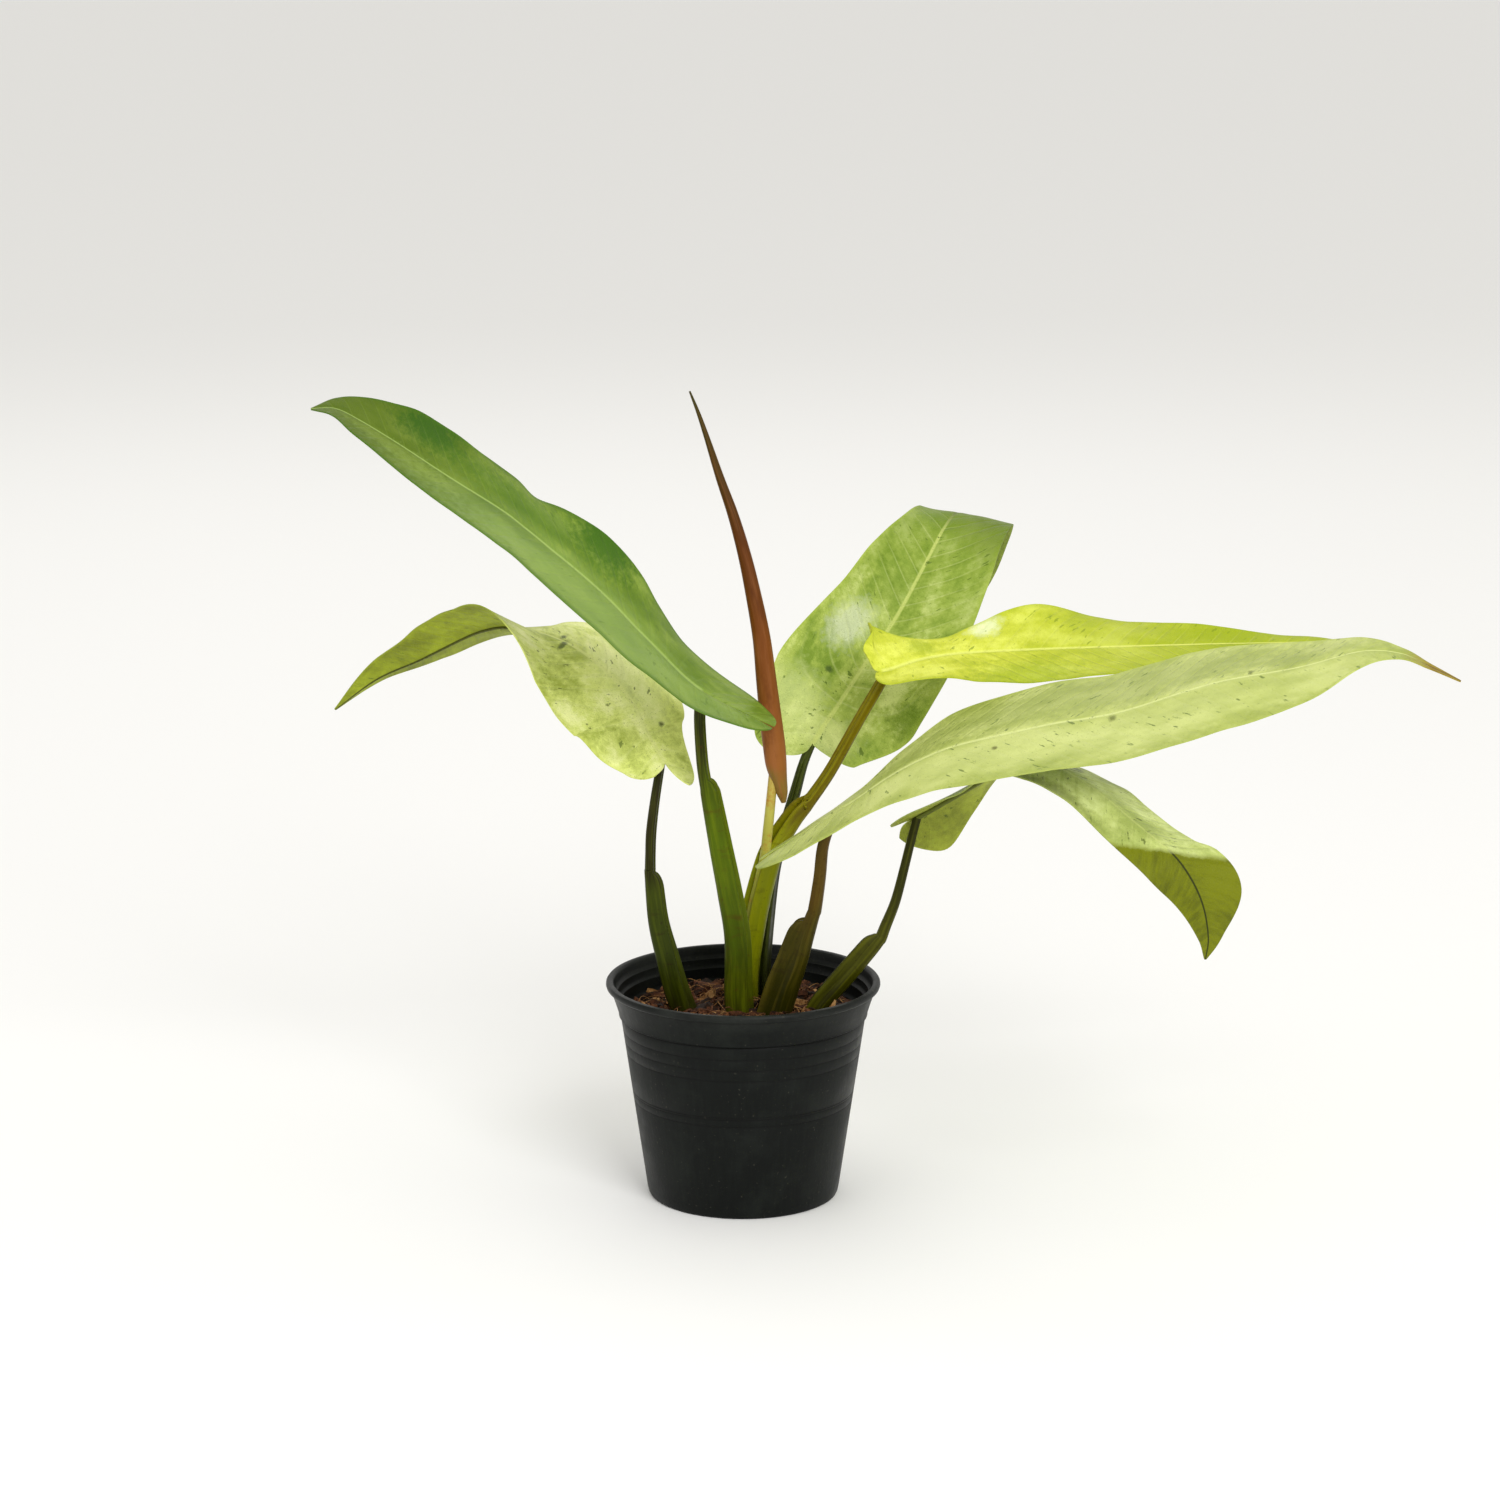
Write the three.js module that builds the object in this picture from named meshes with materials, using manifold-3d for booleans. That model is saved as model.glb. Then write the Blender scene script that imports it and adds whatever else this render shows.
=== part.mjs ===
// A potted philodendron, in millimetres, +Z up, with its origin under the middle of the pot.
// A thin nursery pot holds a coarse mix of bark and coconut husk. In it stands a short stem with its roots.
// Six leaves grow from the stem, each a blade on a sheathed stalk, and a seventh is still rolled up.
import * as THREE from "three";
import { mergeVertices } from "three/addons/utils/BufferGeometryUtils.js";
import Module from "manifold-3d";

const wasm = await Module();
wasm.setup();

// Driving dimensions
const POT_HEIGHT = 97;
const LIP_RADIUS = 60.3;
const BASE_RADIUS = 42;
const WALL = 1.2;
const FLOOR = 1.6;
const COLLAR_Z = 82; // where the collar steps out from the body
const SOIL_Z = 82.4; // mean height of the mix
const GAP = 0.3; // air kept between neighbours
const BLADE_THICKNESS = 0.7;
const POT_SEGMENTS = 48;
const MIX_SEGMENTS = 32;
const DRAIN_HOLES = 8;
const DRAIN_HOLE_RADIUS = 3.6;
const DRAIN_RING_RADIUS = 30;
const CHIP_COUNT = 40;
const FIBRE_COUNT = 12;
const STEM_CENTRE = [3, 2];
const SEED = 7;

// Each row of a blade: x, y, z of a point on the midrib, the way the upper face looks there,
// how far the left and the right half fold up from it in degrees, and the left and the right half width.
// The first row is the end of the two back lobes and the second is where the stalk joins.
// lobes: for the left and the right lobe, where its end lies across and how far back it reaches (0 to 1).
// wave is how many waves the margins have, and the height and phase of the left and the right margin's.
const BLADES = {
  high_left: {
    lobes: [[1.5, 1], [1.5, 1]],
    wave: { count: 2, left: [0.8, 1], right: [3, 4.1] },
    colour: 0x6e963c,
    rows: [
      [13, -25, 215.5, 0.45, -0.34, 0.8, 4, -8, 18, 21],
      [-18, -15, 230, 0.5, -0.36, 0.75, 4, -3, 19, 22.5],
      [-40, -19, 252, 0.53, -0.37, 0.7, 6, 2, 27, 26],
      [-61, -24, 275, 0.53, -0.37, 0.7, 6, 5, 30, 29],
      [-82, -28, 294, 0.53, -0.37, 0.7, 6, 6, 30, 28.5],
      [-92, -30, 302.8, 0.53, -0.37, 0.7, 6, 5, 29.5, 25],
      [-102, -32, 311, 0.53, -0.37, 0.7, 6, 6, 29, 27],
      [-123, -35, 325, 0.52, -0.38, 0.72, 8, 8, 26, 25],
      [-143, -38, 339, 0.5, -0.38, 0.75, 9, 9, 22, 22],
      [-160, -40, 350, 0.4, -0.38, 0.8, 9, 9, 15, 15],
      [-170, -41, 355, 0.2, -0.38, 0.9, 6, 6, 7.5, 7.5],
      [-180, -41, 355, 0, -0.38, 0.95, 0, 0, 0.4, 0.4],
    ],
  },
  low_left: {
    lobes: [[7.6, 0.44], [5, 0.95]],
    wave: { count: 2, left: [1.2, 0], right: [1.2, 1] },
    colour: 0xd7e682,
    rows: [
      [-27.5, -7, 185, 0.2, -0.75, 0.6, -9, -12, 17.5, 11.5],
      [-35, 8, 194.4, 0.2, -0.75, 0.6, -9, -12, 18, 12.6],
      [-42, 14, 205, 0.2, -0.72, 0.65, -11, -11, 25.5, 19.5],
      [-48, 21, 216, 0.2, -0.7, 0.7, -13, -13, 30.5, 24.5],
      [-60, 29, 229, 0.15, -0.62, 0.76, -12, -15, 31.5, 28],
      [-75, 36, 239, 0.1, -0.5, 0.86, 0, -16, 29, 29],
      [-91, 43, 244, -0.05, -0.2, 1, 25, -12, 26, 26],
      [-105, 51, 245, -0.2, 0.2, 0.95, 30, -16, 22.5, 25],
      [-116, 60, 241.5, -0.28, 0.42, 0.85, 24, -8, 20, 23],
      [-126, 68, 236, -0.3, 0.55, 0.78, 22, 2, 18, 19],
      [-146, 82, 223, -0.32, 0.62, 0.72, 24, 10, 14, 13.5],
      [-167, 94, 210, -0.32, 0.62, 0.72, 24, 12, 8, 8],
      [-187, 103, 196, -0.32, 0.62, 0.72, 10, 10, 0.4, 0.4],
    ],
  },
  back: {
    lobes: [[15, 1], [12, 0.15]],
    wave: { count: 2, left: [1.5, 0], right: [1.5, 2] },
    colour: 0xbed278,
    rows: [
      [24.9, 36.9, 183.6, -0.05, -0.9, 0.4, 4, 4, 27, 20],
      [31, 40, 194.4, -0.05, -0.9, 0.4, 4, 4, 28, 22],
      [42, 44.6, 210.2, -0.1, -0.9, 0.4, 4, 4, 34, 35],
      [50, 48, 222, -0.1, -0.9, 0.4, 4, 4, 34.5, 36],
      [68, 56, 248, -0.05, -0.88, 0.45, 4, 4, 29.5, 33.5],
      [80, 66, 268, 0, -0.8, 0.55, 3, 3, 26, 30.5],
      [90, 80, 284, 0, -0.5, 0.85, 0, 0, 20, 28],
      [97, 98, 288, 0.1, 0, 1, -3, -3, 17.5, 26],
      [100, 116, 277, 0.15, 0.5, 0.8, -4, -4, 18, 22],
      [100, 130, 256, 0.1, 0.85, 0.5, -4, -4, 16, 16],
      [98, 138, 236, 0.05, 0.95, 0.2, 0, 0, 8, 8],
      [96, 142, 218, 0, 1, 0.1, 0, 0, 0.4, 0.4],
    ],
  },
  yellow: {
    lobes: [[9, 1], [7, 0.7]],
    wave: { count: 2.4, left: [3, 3.2], right: [1.5, 1] },
    colour: 0xd7e632,
    rows: [
      [53, 2, 235, 0, -0.45, 0.88, 32, 12, 18, 14],
      [61, 5, 234, 0, -0.45, 0.88, 30, 12, 23, 14],
      [77, 10, 238, 0, -0.44, 0.89, 5, 10, 16.5, 19],
      [90, 14, 239.5, 0, -0.43, 0.9, 2, 8, 13.5, 23],
      [103, 17, 240, 0, -0.42, 0.9, 5, 7, 16.5, 25.5],
      [134, 24, 240, 0, -0.42, 0.9, 8, 6, 26, 27],
      [165, 29, 240, 0, -0.38, 0.92, 5, 5, 23, 25],
      [201, 34, 240, 0, -0.35, 0.93, 2, 5, 13, 20],
      [230, 37, 240, 0, -0.3, 0.95, 2, 5, 8, 13],
      [250, 39, 240, 0, -0.25, 0.96, 2, 3, 6, 7],
      [266, 40, 240, 0, -0.2, 0.97, 0, 0, 0.4, 0.4],
    ],
  },
  long_right: {
    lobes: [[4, 1], [4, 1]],
    wave: { count: 2, left: [1, 0], right: [1, 2] },
    colour: 0xd2dc82,
    rows: [
      [6, -16, 154, -0.55, 0.05, 0.8, -6, -10, 17, 20],
      [44, -28, 182, -0.45, -0.05, 0.85, -6, -10, 17, 19],
      [67, -34, 199, -0.36, -0.16, 0.9, -6, -8, 25, 24],
      [89, -38, 210, -0.28, -0.22, 0.93, -2, -6, 33, 30],
      [117, -43, 218, -0.2, -0.26, 0.95, 0, -5, 37, 33],
      [132, -46, 222, -0.15, -0.29, 0.95, 0, -5, 37, 34],
      [159, -51, 228, -0.1, -0.32, 0.94, -3, -6, 36, 35],
      [197, -59, 242, -0.1, -0.32, 0.94, -6, -8, 32, 32],
      [231, -66, 250, -0.1, -0.32, 0.94, -6, -6, 25, 25],
      [256, -72, 258, -0.05, -0.32, 0.94, -3, -3, 13, 13],
      [272, -76, 258, 0.1, -0.32, 0.94, 0, 0, 5.5, 5.5],
      [284, -78, 253, 0.3, -0.32, 0.9, 0, 0, 2.5, 2.5],
      [297, -79, 247, 0.3, -0.32, 0.9, 0, 0, 0.4, 0.4],
    ],
  },
  low_right: {
    lobes: [[6, 1], [8, 0.6]],
    wave: { count: 2, left: [1.2, 0], right: [1.2, 2] },
    colour: 0xb9c882,
    rows: [
      [64.7, 9.7, 161.9, -0.25, 0.6, 0.75, -28, -20, 20, 16],
      [76, 4, 170, -0.25, 0.6, 0.75, -30, -20, 23, 16],
      [90, -3, 180, -0.2, 0.5, 0.8, -17, -20, 17.5, 20],
      [105, -11, 191, -0.05, 0.25, 0.95, 8, -16, 18, 21],
      [119, -22, 201, 0.1, 0, 1, -8, -12, 24.5, 22],
      [133, -34, 201, 0.3, -0.25, 0.9, -12, -10, 24, 20.5],
      [149, -49, 194, 0.41, -0.4, 0.8, -12, -8, 22, 19],
      [165, -63, 183, 0.41, -0.42, 0.8, -12, -12, 19.5, 18],
      [179, -74, 173, 0.38, -0.55, 0.72, -10, -20, 17.5, 15.5],
      [187, -77, 163, 0.3, -0.85, 0.35, -5, -25, 18.8, 13.5],
      [193, -75, 150, 0.25, -0.93, -0.1, 0, -20, 18, 10],
      [196, -71, 135, 0.2, -0.93, -0.2, 0, -15, 7.5, 5.5],
      [196, -67.5, 126, 0.2, -0.93, -0.2, 0, 0, 0.4, 0.4],
    ],
  },
};

// Each row of a stalk: x, y, z of the middle of its round part, the radius and how far the wings of
// the sheath stand up from it. They stop short at a notch, and above it the stalk is only grooved.
// inner is the way its grooved side looks, towards the middle of the plant.
const STALKS = {
  high_left: {
    inner: [1, -0.35, 0.1],
    colour: 0x5f7800,
    rows: [
      [1, -1, 50, 5.2, 2],
      [-1.5, -4, 70, 5, 3],
      [-3.6, -6, 89, 4.7, 3.4],
      [-4, -8, 116.8, 4.2, 3.3],
      [-7.2, -9.5, 137.5, 3.9, 3.3],
      [-11, -11, 158, 3.5, 3.3],
      [-15, -13, 180.8, 3, 3.1],
      [-15.8, -13.3, 186.5, 2.8, 2.7],
      [-16.2, -13.5, 189, 2.8, 0],
      [-17.5, -14, 198.7, 2.7, 0],
      [-18.5, -15, 216.6, 2.6, 0],
      [-18, -15, 228.6, 2.5, 0],
    ],
  },
  low_left: {
    inner: [1, -0.35, 0.1],
    colour: 0x37370a,
    rows: [
      [-12, 0, 50, 4.6, 2],
      [-20.5, -1, 66, 4.4, 2.8],
      [-29.6, -3, 89, 4.1, 3.2],
      [-34.8, -3, 108, 3.6, 3.2],
      [-38.6, -1, 123.9, 3.1, 3],
      [-40.5, 0.4, 144, 2.6, 2.5],
      [-40.5, 0.6, 146.5, 2.5, 0],
      [-40.4, 1.4, 153, 2.4, 0],
      [-40, 3, 163, 2.4, 0],
      [-38.3, 5, 177, 2.2, 0],
      [-35.8, 8, 192.4, 2, 0],
    ],
  },
  back: {
    inner: [-0.2, -1, 0.2],
    colour: 0x37410f,
    rows: [
      [5, 13, 46, 5, 2],
      [6.6, 19, 68, 4.8, 2.6],
      [8.3, 24, 98.8, 4.2, 2.8],
      [11.9, 29, 129.7, 3.4, 2.6],
      [14.6, 31.5, 144, 3, 2.2],
      [15.3, 32, 147, 2.9, 0],
      [22.3, 36, 170, 2.6, 0],
      [26.5, 39, 184.5, 2.2, 0],
      [30.2, 41.2, 193.6, 2, 0],
    ],
  },
  yellow: {
    inner: [-0.7, -0.6, 0.4],
    colour: 0x7d6900,
    rows: [
      [4, 7, 50, 5.4, 2],
      [2, 9.5, 72, 5.2, 3],
      [1.8, 10, 91, 4.8, 3.2],
      [3, 9.5, 103, 4.5, 3.4],
      [5.2, 9, 116.7, 4.4, 3.4],
      [7.4, 8.5, 128.7, 4.3, 3.4],
      [10.9, 8, 142.9, 4.1, 3.4],
      [14.4, 7.5, 153.4, 3.8, 3.4],
      [21.8, 7, 166.1, 3.4, 3.2],
      [27.2, 7, 173.2, 3.1, 2.8],
      [28.6, 7, 175, 2.9, 0],
      [38, 7, 189, 2.7, 0],
      [50, 7, 211, 2.5, 0],
      [59.5, 7, 227.8, 2.4, 0],
      [61.9, 6.8, 232.6, 2.3, 0],
    ],
  },
  long_right: {
    inner: [-1, 0.3, 0.25],
    colour: 0x64501e,
    rows: [
      [9, -3, 50, 5.8, 2],
      [12, -7.5, 70, 5.7, 3.6],
      [18.2, -10, 92, 5.3, 4.6],
      [23.6, -12, 108, 4.6, 4.6],
      [27, -13.6, 120, 4, 4.2],
      [30.2, -15.5, 130.5, 3.3, 3.4],
      [31, -16, 133, 3.2, 0],
      [33, -19, 148, 2.9, 0],
      [34.4, -22.5, 163, 2.7, 0],
      [38, -26, 174, 2.5, 0],
      [42.4, -27.6, 180.6, 2.4, 0],
    ],
  },
  low_right: {
    inner: [-0.8, 0.1, 0.6],
    colour: 0x4b5005,
    rows: [
      [12.5, 0, 48, 4.4, 2],
      [22, -2.5, 62, 4.2, 2.2],
      [30.5, -4.2, 78, 3.9, 2.4],
      [35, -5, 87, 3.7, 2.5],
      [45.1, -5.5, 98.9, 3.6, 2.8],
      [55, -5.6, 111, 3.4, 2.7],
      [59, -5, 115.8, 3.1, 2.5],
      [60, -4.7, 117, 3, 0],
      [62, -3.6, 122, 2.8, 0],
      [66.4, -2, 133, 2.5, 0],
      [70.4, 0.6, 148, 2.3, 0],
      [73.4, 3, 160, 2.2, 0],
      [75.9, 4, 169.4, 2.1, 0],
    ],
  },
};

// The newest leaf is a tight roll, x, y, z and radius, on a stalk that comes out of the yellow leaf's sheath.
const NEW_LEAF = [
  [17.6, -1, 176.8, 1],
  [16.9, -1, 181, 2.4],
  [15.6, -1, 187, 3.4],
  [14.2, -1, 194, 4.5],
  [13.2, -1, 203, 4.8],
  [11.7, -1, 215, 4.7],
  [9.8, -1, 232, 4.3],
  [7.8, -1, 250, 3.8],
  [4.3, -1, 269, 3.3],
  [0.5, 0, 286, 2.8],
  [-4.3, 1, 303, 2.3],
  [-9.9, 2, 319, 1.8],
  [-15.4, 3, 336, 1.2],
  [-19.2, 4, 347, 0.8],
  [-22.8, 5, 356, 0.4],
];
const NEW_LEAF_STALK = [
  [2.2, 6.4, 117.5, 1.9],
  [4.2, 5.8, 129, 2],
  [7.6, 4.6, 143, 2.1],
  [9.6, 2.2, 153, 2.2],
  [10.8, -0.2, 164.4, 2.2],
  [12.1, -1, 178, 2.1],
  [12.8, -1, 186, 2],
  [13.4, -1, 194, 1.8],
];

// The short buried stem, and its thick roots: direction in degrees, reach and lowest point of each.
const STEM = [
  [2, 4, 20, 8],
  [2.5, 3, 27, 10.5],
  [3, 2, 34, 11.5],
  [3, 2, 44, 11],
  [3, 2, 52, 9],
  [3, 2, 57, 5],
];
const ROOTS = [
  [20, 30, 9],
  [75, 34, 14],
  [128, 31, 7],
  [180, 34, 16],
  [228, 29, 10],
  [285, 33, 13],
  [335, 32, 8],
];

const Z_UP = new THREE.Matrix4().makeRotationX(Math.PI / 2);

// Seeded random numbers between 0 and 1
function randomNumbers(seed) {
  let state = seed;
  return () => {
    state = (Math.imul(state, 1664525) + 1013904223) >>> 0;
    return state / 2 ** 32;
  };
}

// A closed solid from points and triangles, with doubled points merged and flat triangles dropped
function solidFrom(points, triangles) {
  const flat = new Float32Array(points.flatMap((p) => [p.x, p.y, p.z]));
  const loose = new THREE.BufferGeometry();
  loose.setAttribute("position", new THREE.BufferAttribute(flat, 3));
  loose.setIndex(triangles.flat());
  const merged = mergeVertices(loose, 1e-3);
  const kept = [];
  for (let i = 0; i < merged.index.count; i += 3) {
    const [a, b, c] = [0, 1, 2].map((k) => merged.index.getX(i + k));
    if (a !== b && b !== c && c !== a) kept.push([a, b, c]);
  }
  const asSolid = (faces) =>
    new wasm.Manifold(
      new wasm.Mesh({
        numProp: 3,
        vertProperties: merged.attributes.position.array,
        triVerts: new Uint32Array(faces.flat()),
      }),
    );
  const solid = asSolid(kept);
  return solid.volume() > 0 ? solid : asSolid(kept.map(([a, b, c]) => [a, c, b]));
}

// A three.js geometry as a solid, placed by a matrix
function solidOf(geometry, matrix = new THREE.Matrix4()) {
  const bare = geometry.clone();
  bare.deleteAttribute("normal");
  bare.deleteAttribute("uv");
  bare.applyMatrix4(matrix);
  const merged = mergeVertices(bare, 1e-3);
  const position = merged.attributes.position;
  const points = Array.from({ length: position.count }, (_, i) =>
    new THREE.Vector3().fromBufferAttribute(position, i),
  );
  const triangles = [];
  for (let i = 0; i < merged.index.count; i += 3)
    triangles.push([0, 1, 2].map((k) => merged.index.getX(i + k)));
  return solidFrom(points, triangles);
}

// The largest of the bodies that a cut leaves
function largest(solid) {
  const bodies = solid.decompose();
  return bodies.reduce((a, b) => (a.volume() > b.volume() ? a : b));
}

function named(name, solid, colour, roughness = 0.6) {
  const mesh = solid.getMesh();
  const geometry = new THREE.BufferGeometry();
  geometry.setAttribute("position", new THREE.BufferAttribute(mesh.vertProperties, 3));
  geometry.setIndex(new THREE.BufferAttribute(mesh.triVerts, 1));
  geometry.computeVertexNormals();
  const made = new THREE.Mesh(geometry, new THREE.MeshStandardMaterial({ color: colour, roughness }));
  made.name = name;
  return made;
}

// Rows of numbers blended by a Catmull-Rom curve. place runs from 0 to the last row's number.
function blend(rows, place) {
  const i = Math.min(Math.floor(place), rows.length - 2);
  const t = place - i;
  const before = rows[i - 1];
  const after = rows[i + 2];
  return rows[i].map((b, k) => {
    const c = rows[i + 1][k];
    const a = before ? before[k] : 2 * b - c;
    const d = after ? after[k] : 2 * c - b;
    return b + 0.5 * t * (c - a + t * (2 * a - 5 * b + 4 * c - d + t * (3 * (b - c) + d - a)));
  });
}

const vector = (row) => new THREE.Vector3(row[0], row[1], row[2]);

// The way a line of rows runs at a place
function headingAt(rows, place) {
  const step = 0.02;
  const last = rows.length - 1;
  const ahead = vector(blend(rows, Math.min(place + step, last)));
  return ahead.sub(vector(blend(rows, Math.max(place - step, 0)))).normalize();
}

// How far along the midrib each row of a blade lies: 0 at the stalk, 1 at the tip
function lengthsAlong(rows, steps) {
  const count = (rows.length - 1) * steps + 1;
  const points = Array.from({ length: count }, (_, i) => vector(blend(rows, i / steps)));
  const run = [0];
  points.slice(1).forEach((p, i) => run.push(run[i] + p.distanceTo(points[i])));
  const start = run[steps];
  const whole = run[run.length - 1] - start;
  return run.map((r) => (r - start) / whole);
}

// The middle of the blade's thickness at a place along the midrib. across runs from 0 at the midrib,
// or at the inner edge of a lobe, to 1 at the margin, and side is -1 on the left and 1 on the right.
function bladePoint(leaf, place, along, side, across, grow) {
  const lobe = Math.max(0, 1 - place);
  const [centre, farBack] = leaf.lobes[side < 0 ? 0 : 1];
  const spot = Math.max(place, 1 - lobe * farBack);
  const row = blend(leaf.rows, spot);
  const heading = headingAt(leaf.rows, spot);
  const up = new THREE.Vector3(row[3], row[4], row[5]);
  up.addScaledVector(heading, -up.dot(heading)).normalize();
  const right = new THREE.Vector3().crossVectors(heading, up);
  const fold = THREE.MathUtils.degToRad(side < 0 ? row[6] : row[7]);
  const inner = centre * lobe ** 3;
  const width = side < 0 ? row[8] : row[9];
  const outer = centre + (width - centre) * Math.sqrt(1 - lobe ** 2);
  const reach = Math.max(inner - (lobe > 0 ? grow : 0), 0) * (1 - across) + (outer + grow) * across;
  const [height, phase] = side < 0 ? leaf.wave.left : leaf.wave.right;
  const ends = (1 - lobe) * Math.sin(Math.PI * THREE.MathUtils.clamp(0.1 + 0.9 * along, 0, 1));
  const wave = height * ends * Math.sin(2 * Math.PI * leaf.wave.count * along + phase) * across ** 2.5;
  return vector(row)
    .addScaledVector(right, side * reach * Math.cos(fold))
    .addScaledVector(up, reach * Math.sin(fold) + wave);
}

const LOBE_PLACES = [0, 0.06, 0.2, 0.45, 0.72];
const STEPS_PER_ROW = 2;
const COLUMNS = [0, 0.13, 0.42, 0.74, 1];
const MIDRIB = 1.5; // how far the midrib stands out under the blade at the stalk

// A leaf blade: two halves that meet at the midrib, and part into two lobes behind the stalk
function blade(leaf, grow = 0) {
  const fine = 40;
  const lengths = lengthsAlong(leaf.rows, fine);
  const places = [...LOBE_PLACES];
  const steps = (leaf.rows.length - 2) * STEPS_PER_ROW;
  for (let i = 0; i <= steps; i++) places.push(1 + i / STEPS_PER_ROW);
  const last = places.length - 1;
  const rim = COLUMNS.length - 1;
  const joined = LOBE_PLACES.length; // from this row on the two halves meet
  const middles = [-1, 1].map((side) =>
    places.map((place) => {
      const along = lengths[Math.round(place * fine)];
      return COLUMNS.map((across) => bladePoint(leaf, place, along, side, across, grow));
    }),
  );
  const points = [];
  const add = (p) => points.push(p) - 1;
  const half = BLADE_THICKNESS / 2 + grow;
  const skins = middles.map((grid, h) =>
    grid.map((row, i) =>
      row.map((p, j) => {
        const inward = j === 0 && i >= joined ? middles[1 - h][i][1] : row[Math.max(j - 1, 0)];
        const across = row[Math.min(j + 1, rim)].clone().sub(inward);
        const along = grid[Math.min(i + 1, last)][j].clone().sub(grid[Math.max(i - 1, 0)][j]);
        const normal = new THREE.Vector3().crossVectors(across, along).normalize();
        if (h === 0) normal.negate();
        if (i === 0) normal.copy(vector(leaf.rows[0].slice(3, 6))).normalize();
        const taper = THREE.MathUtils.clamp((last - i) / 8, 0, 1);
        const rib = i >= joined - 1 ? MIDRIB * taper * [1, 0.25, 0, 0, 0][j] : 0;
        return [
          add(p.clone().addScaledVector(normal, half)),
          add(p.clone().addScaledVector(normal, -half - rib)),
        ];
      }),
    ),
  );
  const triangles = [];
  const quad = (flip, [a, b, c, d]) => {
    if (flip) triangles.push([a, c, b], [a, d, c]);
    else triangles.push([a, b, c], [a, c, d]);
  };
  skins.forEach((grid, h) => {
    const isLeft = h === 0;
    for (let i = 0; i < last; i++) {
      for (let j = 0; j < rim; j++) {
        const corners = [grid[i][j], grid[i][j + 1], grid[i + 1][j + 1], grid[i + 1][j]];
        quad(isLeft, corners.map((c) => c[0]));
        quad(!isLeft, corners.map((c) => c[1]));
      }
      for (const j of i < joined ? [0, rim] : [rim]) {
        const [here, next] = [grid[i][j], grid[i + 1][j]];
        quad(isLeft === (j === rim), [here[0], here[1], next[1], next[0]]);
      }
    }
    for (const [end, turned] of [[0, true], [last, false]]) {
      for (let j = 0; j < rim; j++) {
        const [here, next] = [grid[end][j], grid[end][j + 1]];
        quad(isLeft !== turned, [here[0], next[0], next[1], here[1]]);
      }
    }
  });
  const shared = new Map(); // both halves use the right half's points on the midrib
  for (let i = joined; i <= last; i++)
    for (const k of [0, 1]) shared.set(skins[0][i][0][k], skins[1][i][0][k]);
  return solidFrom(points, triangles.map((t) => t.map((n) => shared.get(n) ?? n)));
}

// A closed solid through rings of points, with both ends capped
function loft(rings) {
  const count = rings[0].length;
  const points = rings.flat();
  const triangles = [];
  for (let i = 0; i < rings.length - 1; i++) {
    for (let j = 0; j < count; j++) {
      const [a, b] = [i * count + j, i * count + ((j + 1) % count)];
      triangles.push([a, b, b + count], [a, b + count, a + count]);
    }
  }
  const middle = (ring) =>
    ring.reduce((sum, p) => sum.add(p), new THREE.Vector3()).divideScalar(count);
  const [first, end] = [points.push(middle(rings[0])) - 1, points.push(middle(rings.at(-1))) - 1];
  const start = (rings.length - 1) * count;
  for (let j = 0; j < count; j++) {
    triangles.push([first, (j + 1) % count, j]);
    triangles.push([end, start + j, start + ((j + 1) % count)]);
  }
  return solidFrom(points, triangles);
}

// Directions square to a line of rows: up leans the way given, and right is square to both
function framesAlong(rows, lean) {
  return rows.map((row, i) => {
    const heading = headingAt(rows, i);
    const up = new THREE.Vector3(...lean);
    up.addScaledVector(heading, -up.dot(heading)).normalize();
    return { at: vector(row), up, right: new THREE.Vector3().crossVectors(heading, up) };
  });
}

const ROUND_BACK = [30, -5, -38, -70, -110, -142, -175, -210]; // degrees round the back of a stalk
const WING_THICKNESS = 1.3;
const WING_FOOT = 0.72; // where a wing leaves the stalk, as a share of its radius
const WING_FLARE = 0.12; // how far a wing leans out, as a share of its height
const GROOVE_FOOT = 0.45; // the bottom of the groove, as a share of the radius

// A leaf stalk: round at the back and grooved in front, with two sheath wings along its lower part
function stalk(spec, grow = 0) {
  const rings = framesAlong(spec.rows, spec.inner).map(({ at, up, right }, i) => {
    const [radius, wing] = spec.rows[i].slice(3);
    const place = (x, y) => at.clone().addScaledVector(right, x).addScaledVector(up, y);
    const back = ROUND_BACK.map((angle) => {
      const turn = THREE.MathUtils.degToRad(angle);
      return place((radius + grow) * Math.cos(turn), (radius + grow) * Math.sin(turn));
    });
    const top = WING_FOOT * radius + wing + grow;
    const outside = WING_FOOT * radius + WING_FLARE * wing + grow;
    const inside = outside - Math.min(WING_THICKNESS, radius / 2) - 2 * grow;
    const groove = GROOVE_FOOT * radius + grow;
    return [
      ...back,
      place(-outside, top),
      place(-inside, top),
      place(0, groove),
      place(inside, top),
      place(outside, top),
    ];
  });
  return loft(rings);
}

// A round or many-sided rod along rows of x, y, z and radius
function rod(rows, sides, grow = 0) {
  const rings = framesAlong(rows, [0.9, -0.35, 0.2]).map(({ at, up, right }, i) =>
    Array.from({ length: sides }, (_, j) => {
      const turn = (2 * Math.PI * j) / sides;
      const radius = rows[i][3] + grow;
      return at
        .clone()
        .addScaledVector(right, radius * Math.cos(turn))
        .addScaledVector(up, radius * Math.sin(turn));
    }),
  );
  return loft(rings);
}

const NEW_STALK_SIDES = 10;
const ROLL_SIDES = 14;
const ROLL_OVERLAP = 0.14; // share of the radius by which the outer edge of the roll stands out

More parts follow.
